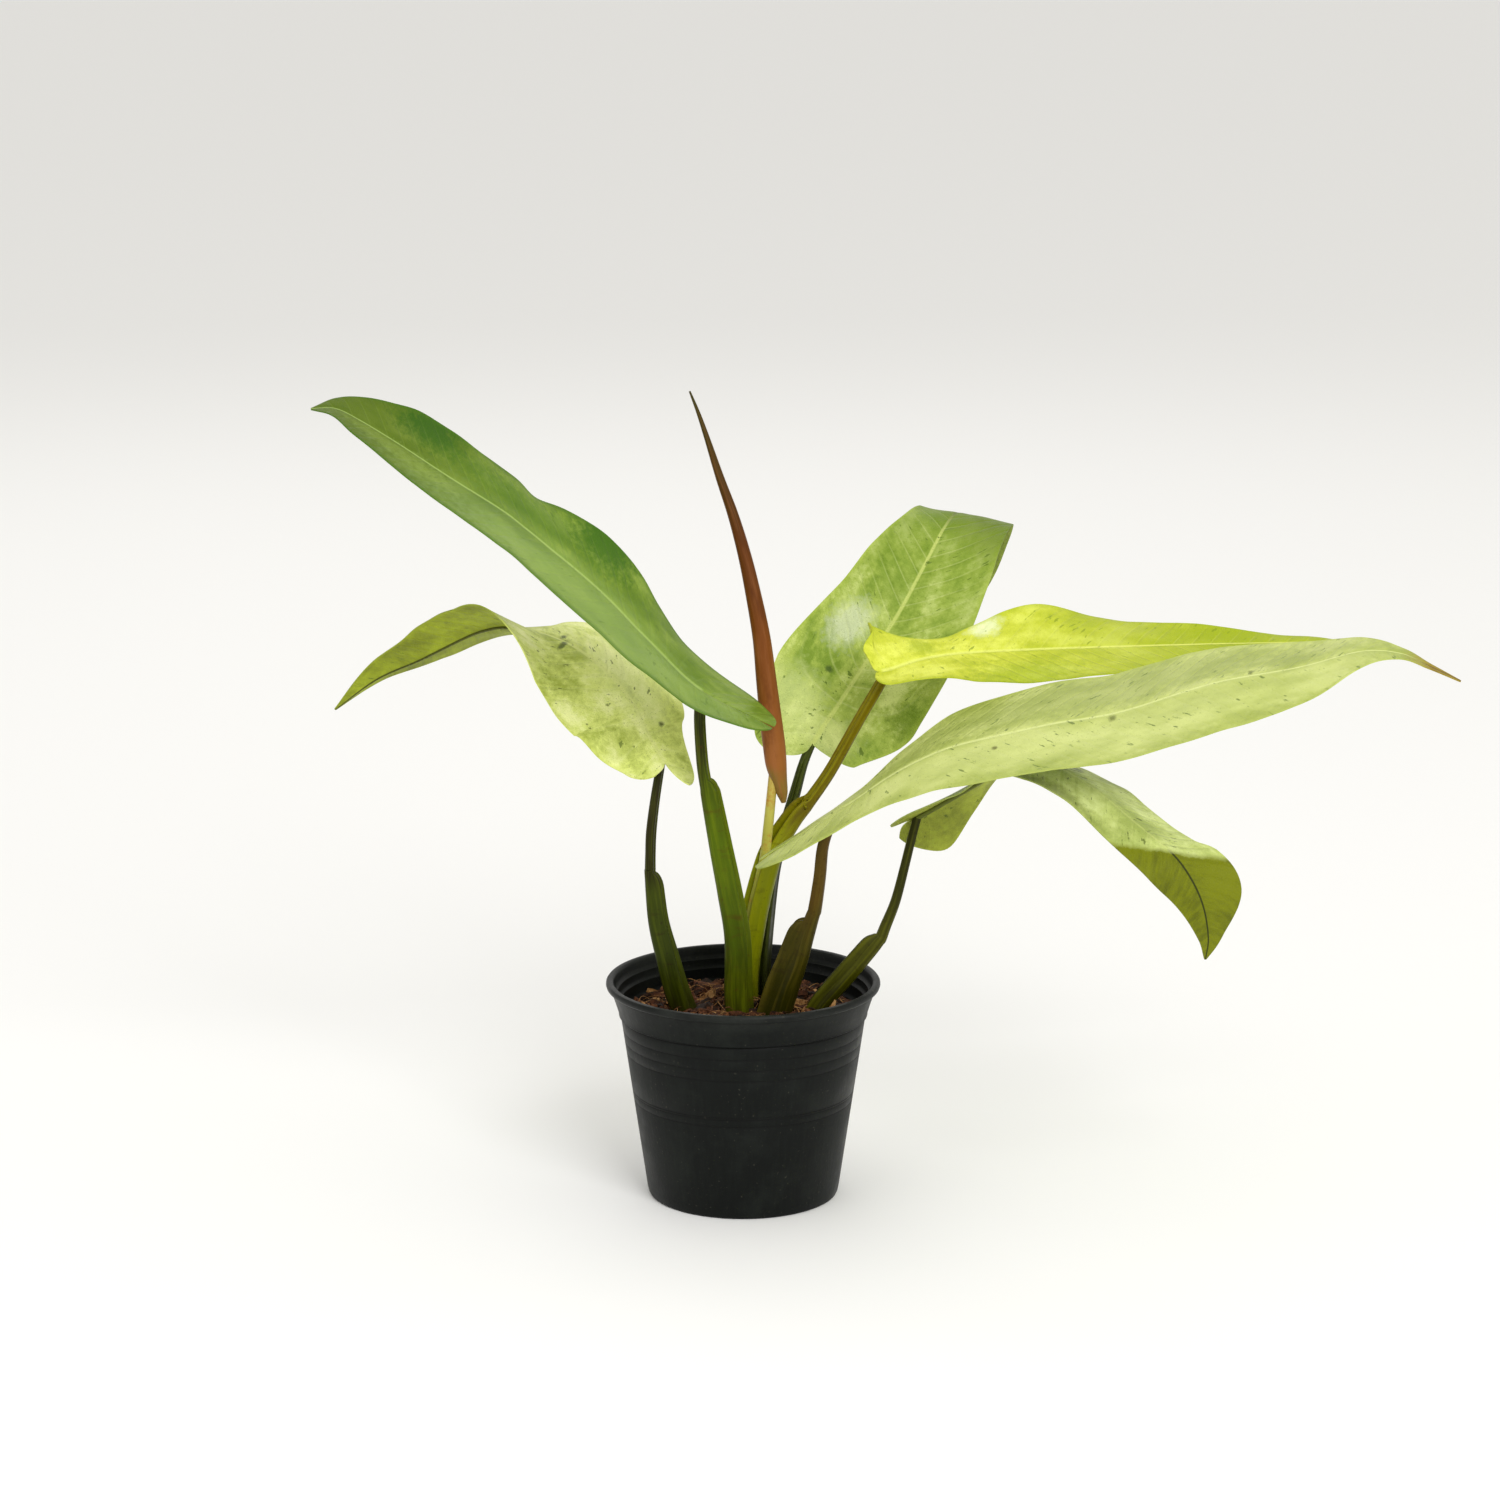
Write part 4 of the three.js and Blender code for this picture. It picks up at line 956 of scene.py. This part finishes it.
def stalk_piece(name, stem, longer, material):
    """A stalk. Its sheath ends longer millimetres further up than the last winged row."""
    rows = stem["rows"]
    run, length = run_along(rows)
    winged = max(i for i, row in enumerate(rows) if row[4] > 0)
    sheath_end = run(winged) + longer
    blade = BLADES[name]["rows"]
    joint = Vector(blade[1][:3])
    facing = across_line(blade, 1, blade[1][3:6])[0]

    def point(s, t):
        place = t * (len(rows) - 1)
        x, y, z, radius, _ = blend(rows, place)
        into_end = min(max(run(place) - (sheath_end - NOTCH_ROUNDING), 0) / NOTCH_ROUNDING, 1)
        wing = blend(rows, min(place, winged))[4] * math.sqrt(1 - into_end**2)
        up, right = across_line(rows, place, stem["inner"])
        side, rise = round_outline(stalk_outline(radius, wing), s % 1)
        at = Vector((x, y, z)) + side * right + rise * up
        above = (at - joint).dot(facing) + JOINT_DEPTH
        near_end = run(place) > length - JOINT_REACH
        return at - above * facing if near_end and above > 0 else at

    bm = new_sheet()
    lay(bm, STALK_AROUND, round(length / STALK_STEP), point, tube_maps(rows, STALK_GIRTH))
    close_solid(bm, weld=True)
    finish_piece(bm, f"leaf_stalk_{name}", [material], f"stalk_{name}")


# %% [markdown]
# ## The stalks' finish
# A stalk is glossy and streaked lengthwise: fine pale fibres, and darker olive or reddish patches that run
# out into them. The bottom, where it is buried and shaded, is darker, and the wings' edges are drier and
# paler. Noise that is stretched along the stalk's own map gives all of these.

# %% The stalk material
GROOVE_SHARE = 0.81  # how far round the outline the groove lies, between the pale edges of the wings


def stalk_material(name, look, seed):
    """The skin of a stalk: a tint for each height, then fibres, pale wing edges, blotches and freckles."""
    w = Wires(name)
    around, along_cm = w.map(SIZES)
    share, along = w.map(SHARES)
    fine = w.noise(w.place(around * 9, along_cm * 0.35, seed))
    streak = w.noise(w.place(around * 2.6, along_cm * 0.22, seed + 5))
    blotch = w.noise(w.place(around, along_cm * 1.4, seed + 11), 1.6, 4.0, 0.65)
    freckle = w.noise(w.place(around * 6, along_cm * 4, seed + 2), 1.5, 2.0, 0.5)
    edge = 1 - abs(share - GROOVE_SHARE).spread(0.1, 0.16)
    tint = w.ramp(along + (streak - 0.5) * 0.3, look["steps"])
    tint = w.paint(fine.spread(0.45, 0.7) * 0.3, tint, look["light"])
    tint = w.paint(edge * streak.spread(0.4, 0.65, 0.1, 0.45), tint, look["light"])
    tint = w.paint(blotch.spread(0.56, 0.7) * look.get("blotches", 0.4), tint, look["dark"])
    tint = w.paint(freckle.spread(0.68, 0.73) * 0.5, tint, look["dark"])
    rough = blotch.spread(0.35, 0.7, 0.34, 0.5)
    relief = fine * 0.8 + blotch * 0.4
    return w.finish(tint, rough, shine=0.1, relief=relief, depth=0.0003, strength=0.8)


# %% Stalk looks
# The steps are tints from the bottom of a stalk, at 0, to its top, at 1.
STALK_LOOKS = {
  "high_left": {
    "steps": [(0.2, 41, 43, 2), (0.4, 61, 76, 0), (0.62, 74, 93, 0),
      (0.76, 60, 73, 0), (0.86, 38, 42, 2), (1.0, 33, 36, 2)],
    "light": (117, 129, 10), "dark": (73, 35, 8),
  },
  "low_left": {
    "steps": [(0.25, 25, 23, 2), (0.42, 40, 49, 0), (0.6, 50, 59, 2),
      (0.68, 33, 33, 2), (0.85, 37, 33, 6), (1.0, 26, 28, 2)],
    "light": (90, 99, 15), "dark": (35, 18, 4),
  },
  "back": {
    "steps": [(0.2, 21, 21, 2), (0.5, 32, 38, 4), (0.8, 30, 36, 4),
      (1.0, 44, 51, 6)],
    "light": (93, 104, 34), "dark": (19, 17, 3),
  },
  "yellow": {
    "steps": [(0.1, 48, 44, 2), (0.28, 111, 118, 2), (0.5, 130, 136, 4),
      (0.64, 97, 86, 0), (0.8, 97, 82, 0), (1.0, 106, 93, 0)],
    "light": (150, 150, 19), "dark": (63, 42, 0),
  },
  "long_right": {
    "steps": [(0.1, 23, 23, 0), (0.3, 34, 34, 0), (0.52, 52, 48, 2),
      (0.68, 75, 56, 10), (1.0, 84, 65, 15)],
    "light": (100, 88, 25), "dark": (36, 21, 2),
  },
  "low_right": {
    "steps": [(0.2, 27, 26, 0), (0.45, 50, 51, 0), (0.6, 54, 55, 0),
      (0.72, 43, 44, 2), (1.0, 43, 45, 4)],
    "light": (103, 105, 12), "dark": (33, 25, 2),
  },
}

# %% Make the six stalks
SHEATH_LONGER = {"high_left": 3.5, "yellow": 4, "long_right": -4}

for seed, (leaf_name, stem) in enumerate(STALKS.items()):
    skin = stalk_material(f"stalk_skin_{leaf_name}", STALK_LOOKS[leaf_name], 5.1 * seed)
    stalk_piece(leaf_name, stem, SHEATH_LONGER.get(leaf_name, 1), skin)

# %% [markdown]
# ## The newest leaf
# The newest leaf is still a tight roll, like a cigar, on a thin stalk that comes out of an older leaf's
# sheath. Its outer edge laps over the turn below it. The outline is a circle whose radius shrinks a little
# on the way round, so the two ends meet in a step, which runs the whole length of the roll.

# %% The rows of the roll and its stalk
# Each row: x, y, z of the middle and the radius.
NEW_LEAF = [
  (17.6, -1, 176.8, 1), (16.9, -1, 181, 2.4), (15.6, -1, 187, 3.4), (14.2, -1, 194, 4.5),
  (13.2, -1, 203, 4.8), (11.7, -1, 215, 4.7), (9.8, -1, 232, 4.3), (7.8, -1, 250, 3.8),
  (4.3, -1, 269, 3.3), (0.5, 0, 286, 2.8), (-4.3, 1, 303, 2.3), (-9.9, 2, 319, 1.8),
  (-15.4, 3, 336, 1.2), (-19.2, 4, 347, 0.8), (-22.8, 5, 356, 0.4),
]

NEW_LEAF_STALK = [
  (2.2, 6.4, 117.5, 1.9), (4.2, 5.8, 129, 2), (7.6, 4.6, 143, 2.1), (9.6, 2.2, 153, 2.2),
  (10.8, -0.2, 164.4, 2.2), (12.1, -1, 178, 2.1), (12.8, -1, 186, 2), (13.4, -1, 194, 1.8),
]

# %% Roll up the newest leaf
ROLL_AROUND = 48
ROLL_ROWS = 120
ROLL_GIRTH = 2.6  # centimetres
ROLL_OVERLAP = 0.14  # how much the radius shrinks on the way round
ROLL_LEAN = (0.5, -0.85, 0.1)  # towards the side that lies a quarter turn past the step


def rod_point(rows, lean, overlap=0):
    """The surface of a round rod along rows. With an overlap it is a sheet rolled up."""

    def point(s, t):
        place = t * (len(rows) - 1)
        x, y, z, radius = blend(rows, place)
        up, right = across_line(rows, place, lean)
        turn = 2 * math.pi * s
        radius *= 1 + overlap * (0.5 - s)
        return Vector((x, y, z)) + radius * (math.cos(turn) * right + math.sin(turn) * up)

    return point


bm = new_sheet()
roll_point, roll_maps = rod_point(NEW_LEAF, ROLL_LEAN, ROLL_OVERLAP), tube_maps(NEW_LEAF, ROLL_GIRTH)
lay(bm, ROLL_AROUND, ROLL_ROWS, roll_point, roll_maps)
rims = [edge for edge in bm.edges if edge.is_boundary]
step = [edge for edge in rims if abs(edge.verts[0].co.z - edge.verts[1].co.z) > 0.4 * MM]
bmesh.ops.bridge_loops(bm, edges=step)
close_solid(bm)

# %% Colour the roll
w = Wires("rolled_leaf_skin")
around, along_cm = w.map(SIZES)
share, along = w.map(SHARES)
fibre = w.noise(w.place(around * 5, along_cm * 0.35, 2.0))
patch = w.noise(w.place(around * 1.6, along_cm * 0.5, 6.0))
tint = w.ramp(along + (patch - 0.5) * 0.3, [
    (0.02, 126, 98, 40), (0.1, 142, 87, 40), (0.35, 112, 61, 18), (0.62, 82, 42, 5), (0.85, 66, 48, 5),
    (1.0, 50, 52, 5),
])
tint = w.paint(fibre.spread(0.5, 0.72) * 0.35, tint, (148, 95, 57))
tint = w.paint(patch.spread(0.55, 0.68) * 0.35, tint, (74, 33, 12))
tint = w.paint(share.spread(0.6, 0.8, 0, 0.5), tint, (62, 26, 7))  # the shaded side
rough = patch.spread(0.3, 0.7, 0.36, 0.52)
roll_skin = w.finish(tint, rough, shine=0.12, relief=fibre, depth=0.0003, strength=0.8)
finish_piece(bm, "newest_leaf", [roll_skin], "rolled_new_leaf", sharp=50)

# %% Its stalk
YOUNG_AROUND = 20
YOUNG_ROWS = 60
YOUNG_GIRTH = 1.3  # centimetres
YOUNG_LEAN = (0.9, -0.35, 0.2)
YOUNG_LOOK = {
    "steps": [(0.0, 120, 120, 24), (0.35, 164, 166, 56), (0.75, 178, 172, 78), (1.0, 176, 134, 66)],
    "light": (200, 198, 110), "dark": (176, 96, 30), "blotches": 0.6,
}

young_skin = stalk_material("young_stalk_skin", YOUNG_LOOK, 40)
young_point, young_maps = rod_point(NEW_LEAF_STALK, YOUNG_LEAN), tube_maps(NEW_LEAF_STALK, YOUNG_GIRTH)
bm = new_sheet()
lay(bm, YOUNG_AROUND, YOUNG_ROWS, young_point, young_maps)
close_solid(bm, weld=True)
finish_piece(bm, "newest_leaf_stalk", [young_skin], "stalk_new_leaf")

# %% [markdown]
# ## The nursery pot
# A nursery pot is one thin moulding: a body that widens upwards, a step, a collar and a rolled lip. Its
# outline is drawn once, in the order outside, lip, inside, and spun about the upright axis. Shallow rings
# from the mould run round the wall. The drain holes are cut out of the floor with small drills.

# %% The pot's outline
BASE_RADIUS = 42
STEP_RADIUS = 54
COLLAR_Z = 82
WALL = 1.2
POT_FLOOR = 1.6
RING_HEIGHTS = [43.8, 47.1, 48.1, 65.3, 70.2, 75.3]
RING_DEPTH = 0.14
RING_REACH = 0.3  # half the width of a ring's groove


def body(z, depth=0):
    """A corner of the wall's outline, some depth inside its outer face."""
    return BASE_RADIUS + (STEP_RADIUS - BASE_RADIUS) * z / COLLAR_Z - depth, z


rings = []
for z in RING_HEIGHTS:
    rings += [body(z - RING_REACH), body(z, RING_DEPTH), body(z + RING_REACH)]
foot = [(0, 0.6), (20, 0.6), (37.5, 0.6), (39.2, 0), (40.8, 0), (41.6, 0.4), (42, 1.2)]
collar = [(53.4, 80.4), (53.2, 80.9), (54.2, 81.3), (54.7, 81.7), (54.8, 83), (55.6, 85.6), (56.5, 88.4),
          (57.4, 91), (58, 92.6), (58.2, 93.4)]
lip = [(58.7, 93.7), (59.5, 93.8), (60, 94.3), (60.3, 95.2), (60.2, 96.1), (59.7, 96.8), (58.9, 97)]
outside = [*foot, body(4), body(24), *rings, body(79), *collar, *lip]
inside = [
    (57.9, 96.9), (57.2, 96.5), (56.8, 95.6), (56.6, 93.4), (56, 91.8), (55.2, 91.3), (55.1, 88.6),
    (54.6, 87.8), (53.8, 87.3), (53.5, 83.4), (53.2, 82.3), (52.2, 81.4), body(78, WALL), body(42, WALL),
    body(4, WALL), (40.6, 2.6), (39.6, POT_FLOOR), (20, POT_FLOOR), (0, POT_FLOOR),
]

# %% Spin the outline
POT_STEPS = 128

bm = bmesh.new()
corners = [bm.verts.new((r * MM, 0, z * MM)) for r, z in outside + inside]
for here, ahead in zip(corners, corners[1:]):
    bm.edges.new((here, ahead))
bmesh.ops.spin(bm, geom=bm.verts[:] + bm.edges[:], cent=(0, 0, 0), axis=(0, 0, 1), dvec=(0, 0, 0),
               angle=2 * math.pi, steps=POT_STEPS, use_merge=True, use_duplicate=False)
bmesh.ops.remove_doubles(bm, verts=bm.verts, dist=2 * SEAM)
bmesh.ops.recalc_face_normals(bm, faces=bm.faces)
turned = make_object("pot_turned", bm)

# %% Drill its floor
DRAIN_HOLES = 8
DRAIN_RING = 30  # the radius on which they lie
DRAIN_RADIUS = 3.6
DRILL_LENGTH = 8

bm = bmesh.new()
for i in range(DRAIN_HOLES):
    angle = 2 * math.pi * (i + 0.5) / DRAIN_HOLES
    spot = Matrix.Translation(Vector((DRAIN_RING * math.cos(angle), DRAIN_RING * math.sin(angle), 0)) * MM)
    bmesh.ops.create_cone(bm, cap_ends=True, segments=32, radius1=DRAIN_RADIUS * MM,
                          radius2=DRAIN_RADIUS * MM, depth=DRILL_LENGTH * MM, matrix=spot)
drills = make_object("drills", bm)
cut = turned.modifiers.new("drain_holes", "BOOLEAN")
cut.operation = "DIFFERENCE"
cut.solver = "EXACT"
cut.object = drills
drilled = bpy.data.meshes.new_from_object(turned.evaluated_get(bpy.context.evaluated_depsgraph_get()))
bpy.data.objects.remove(turned)
bpy.data.objects.remove(drills)
print("holes drilled:", DRAIN_HOLES)

# %% [markdown]
# ## The pot's finish
# The plastic is black with a little green in it. It is satin, not glossy, and its wall shows fine upright
# scuffs, dry water marks and dust, heavier on the collar and lip where hands and watering reach it. Dark
# lines of painted shade lie under the step and in the rings.

# %% The pot material
# Painted shade: dark lines under the collar's step and along the mould rings, where shade falls in the
# hollows.
PAINTED_SHADE_LINES = [(81.1, 1.1, 0.85)] + [(z, 0.7, 0.6) for z in RING_HEIGHTS]  # height, reach and strength

w = Wires("black_plastic")
spot = w.add("TexCoord", out="Object")
x, y, z = w.apart(spot)
scuff = w.noise(w.place(w.math("ARCTAN2", y, x) * 26, z * 60), 1.0, 4.0, 0.65)
dust = w.noise(spot, 45, 5.0, 0.65)
speck = w.noise(spot, 700, 2.0, 0.5)
tint = w.paint(scuff.spread(0.45, 0.75, 0, 0.5), (9, 12, 10), (19, 23, 20))
tint = w.paint(dust.spread(0.5, 0.75, 0, 0.35), tint, (36, 41, 36))
tint = w.paint(z.spread(0.088, 0.096) * dust.spread(0.4, 0.7, 0.05, 0.3), tint, (56, 58, 54))
tint = w.paint(speck.spread(0.68, 0.76, 0, 0.25), tint, (84, 82, 70))
# painted shade under the step and in the rings
for height, reach, strength in PAINTED_SHADE_LINES:
    near = abs(z - height * MM).spread(0.3 * reach * MM, reach * MM, strength, 0)
    tint = w.paint(near, tint, (3, 4, 3))
rough = dust.spread(0.35, 0.7, 0.36, 0.55)
relief = speck * 0.6 + scuff * 0.6
black_plastic = w.finish(tint, rough, shine=0.12, relief=relief, depth=0.00015, strength=0.6)

bm = bmesh.new()
bm.from_mesh(drilled)
finish_piece(bm, "nursery_pot", [black_plastic], "pot", sharp=40)

# %% [markdown]
# ## Husk chips and fibres
# The mix is coarse: broken bits of coconut husk and bark, reddish brown and golden tan, with curled shavings
# and loose fibres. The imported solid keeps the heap's shape. About nine hundred loose bits are scattered on
# it. Each chip starts as a cube that is bevelled, tapered and knocked out of square, which is enough at this
# size. A shaving is a narrow strip bent into part of a ring, and a fibre is a thin arching tube.

# %% The husk finish
def husk_material(name, dark, middle, light):
    """Rough and stringy, in three tints."""
    w = Wires(name)
    spot = w.add("TexCoord", out="Object")
    lump = w.noise(spot, 160, 4.0, 0.65)
    drawn_out = w.add("Mapping", spot, None, (0.4, 0.7, 0.2), (1, 0.16, 0.5))  # turned, then stretched
    strand = w.noise(drawn_out, 1500, 4.0, 0.7)
    tint = w.ramp(lump * 0.55 + strand * 0.45, [(0.36, *dark), (0.5, *middle), (0.64, *light)])
    return w.finish(tint, 0.85, shine=0.25, relief=strand + lump * 1.5, depth=0.0008, strength=0.9)


HUSKS = [
    husk_material("red_husk", (34, 17, 8), (74, 40, 20), (122, 76, 42)),
    husk_material("tan_husk", (92, 58, 28), (150, 106, 60), (200, 156, 102)),
    husk_material("dark_husk", (16, 9, 5), (38, 22, 12), (70, 44, 26)),
]
ROOT_SKIN = husk_material("root_skin", (120, 92, 56), (176, 150, 104), (208, 186, 140))
for node, skin in (("potting_mix", HUSKS[0]), ("stem_and_roots", ROOT_SKIN)):
    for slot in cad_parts[node].material_slots:
        slot.material = skin

# %% Helpers for loose bits
SOIL_Z = 82.4
LOOSE_SPREAD = 47  # how far from the middle shavings and fibres lie

chance = random.Random(11)


def heap(x, y):
    """The height of the mix's uneven surface, in millimetres. It falls a little towards the wall."""
    lumps = 0.9 * math.sin(x / 7 + 1) * math.cos(y / 6) + 0.5 * math.sin(x / 3.1 - y / 4.3)
    return SOIL_Z + lumps - 1.2 * (math.hypot(x, y) / 50) ** 4


def loose_spot():
    """A random spot on the heap, and how far it is from the middle."""
    spread, angle = LOOSE_SPREAD * math.sqrt(chance.random()), chance.uniform(0, 2 * math.pi)
    return spread * math.cos(angle), spread * math.sin(angle), spread


def tumble(roll, pitch):
    """A random way round, mostly flat. roll and pitch say how much it tilts."""
    return Euler((chance.gauss(0, roll), chance.gauss(0, pitch), chance.uniform(0, 2 * math.pi)))


def pick_husk(shares):
    """The number of a husk, picked at random. shares says how common each is."""
    return chance.choices(range(len(shares)), shares)[0]


def drop(bm, verts, spot, tilt, size, shares):
    """Lays a loose bit on the heap, at its spot in millimetres, and picks its husk."""
    place = Matrix.Translation(Vector(spot) * MM) @ tilt.to_matrix().to_4x4()
    bmesh.ops.transform(bm, matrix=place @ Matrix.Diagonal((*[s * MM for s in size], 1)), verts=verts)
    dress(touching(verts, "link_faces"), pick_husk(shares))


# %% Scatter the chips
CHIPS = 520
CHIP_SPREAD = 49.5
INNER_WALL = 51.5  # chips stay inside this radius
GOLDEN_ANGLE = 2.399963  # radians, which spaces them evenly on a disc
BIG_CHIPS = 0.22  # the share of them that is big
CHIP_TAPER = 0.65  # how wide one end is next to the other
CHIP_BEVEL = 0.09  # as a share of its size
CHIP_HUSKS = (0.48, 0.2, 0.32)  # the shares of red, tan and dark husk

bm = bmesh.new()
for i in range(CHIPS):
    spread = CHIP_SPREAD * math.sqrt((i + 0.5) / CHIPS)
    angle = i * GOLDEN_ANGLE + chance.uniform(-0.2, 0.2)
    x, y = spread * math.cos(angle), spread * math.sin(angle)
    big = chance.random() < BIG_CHIPS
    length = chance.uniform(7, 13) if big else chance.uniform(2.6, 6.5)
    length = min(length, 2 * (INNER_WALL - spread) + 3)
    size = (length, length * chance.uniform(0.35, 0.8), chance.uniform(1.4, 3.2) * (1.2 if big else 0.9))
    cube = bmesh.ops.create_cube(bm, size=1)["verts"]
    for vert in cube:
        jitter = [chance.uniform(0.72, 1.15) for _ in range(3)]
        taper = CHIP_TAPER if vert.co.x > 0 else 1
        vert.co = Vector((vert.co.x * jitter[0], vert.co.y * taper * jitter[1], vert.co.z * jitter[2]))
    bevelled = bmesh.ops.bevel(bm, geom=touching(cube, "link_edges"), offset=CHIP_BEVEL,
                               offset_type="OFFSET", segments=1, profile=0.5, affect="EDGES", material=-1)
    verts = list({*bevelled["verts"], *touching(bevelled["faces"], "verts")})
    tilt = tumble(0.32, 0.32)
    height = heap(x, y) + chance.uniform(0.2, 2.6 if big else 1.8)
    drop(bm, verts, (x, y, height), tilt, size, CHIP_HUSKS)
finish_piece(bm, "husk_chips", HUSKS, sharp=30)

# %% Curl the shavings
SHAVINGS = 190
SHAVING_STEPS = 9
SHAVING_HUSKS = (0.5, 0.35, 0.15)

bm = bmesh.new()
for _ in range(SHAVINGS):
    x, y, _ = loose_spot()
    width, thick = chance.uniform(0.7, 2.4), chance.uniform(0.25, 0.5)
    bend, sweep = chance.uniform(2.2, 6), chance.uniform(1.2, 3.6)
    strip = bmesh.ops.create_grid(bm, x_segments=SHAVING_STEPS, y_segments=1, size=0.5)["verts"]
    for vert in strip:
        share, across = vert.co.x, vert.co.y
        turn, narrow = share * sweep, 1 - 0.5 * abs(2 * share) ** 3
        aside = width * narrow * across + 0.8 * share
        vert.co = Vector((bend * math.sin(turn), aside, bend * (math.cos(turn) - 1)))
    grown = bmesh.ops.solidify(bm, geom=touching(strip, "link_faces"), thickness=thick)["geom"]
    verts = list({*strip, *touching(only(BMFace, grown), "verts")})
    tilt = tumble(0.9, 0.5)
    height = heap(x, y) + chance.uniform(1.4, 3.0)
    drop(bm, verts, (x, y, height), tilt, (1, 1, 1), SHAVING_HUSKS)
finish_piece(bm, "husk_shavings", HUSKS, sharp=50)

# %% Lay the fibres
FIBRES = 230
FIBRE_SIDES = 5
FIBRE_STEPS = 8
FIBRE_HUSKS = (0.45, 0.55)
FIBRE_WALL = 51  # fibres stay inside this radius

bm = bmesh.new()
for _ in range(FIBRES):
    x0, y0, spread = loose_spot()
    heading, reach, bend = chance.uniform(0, 2 * math.pi), chance.uniform(3, 9), chance.uniform(-5, 5)
    reach = min(reach, FIBRE_WALL - spread)
    arch, thick = chance.uniform(0.5, 4.5), chance.uniform(0.09, 0.24)
    path = []
    for k in range(FIBRE_STEPS + 1):
        share = 2 * k / FIBRE_STEPS - 1
        across = bend * (1 - share**2)
        x = x0 + reach * share * math.cos(heading) - across * math.sin(heading)
        y = y0 + reach * share * math.sin(heading) + across * math.cos(heading)
        path.append(Vector((x, y, heap(x, y) + 1.6 + arch * (0.8 - share**2))))
    ring = bmesh.ops.create_circle(bm, cap_ends=False, segments=FIBRE_SIDES, radius=thick * MM)["verts"]
    loop = touching(ring, "link_edges")
    turn = (path[1] - path[0]).to_track_quat("Z", "Y").to_matrix().to_4x4()
    bmesh.ops.transform(bm, matrix=Matrix.Translation(path[0] * MM) @ turn, verts=ring)
    husk = pick_husk(FIBRE_HUSKS)
    for here, ahead in zip(path, path[1:]):
        grown = bmesh.ops.extrude_edge_only(bm, edges=loop)["geom"]
        loop = only(BMEdge, grown)
        bmesh.ops.translate(bm, vec=(ahead - here) * MM, verts=only(BMVert, grown))
        dress(only(BMFace, grown), husk)
close_solid(bm)
finish_piece(bm, "husk_fibres", HUSKS[:2])
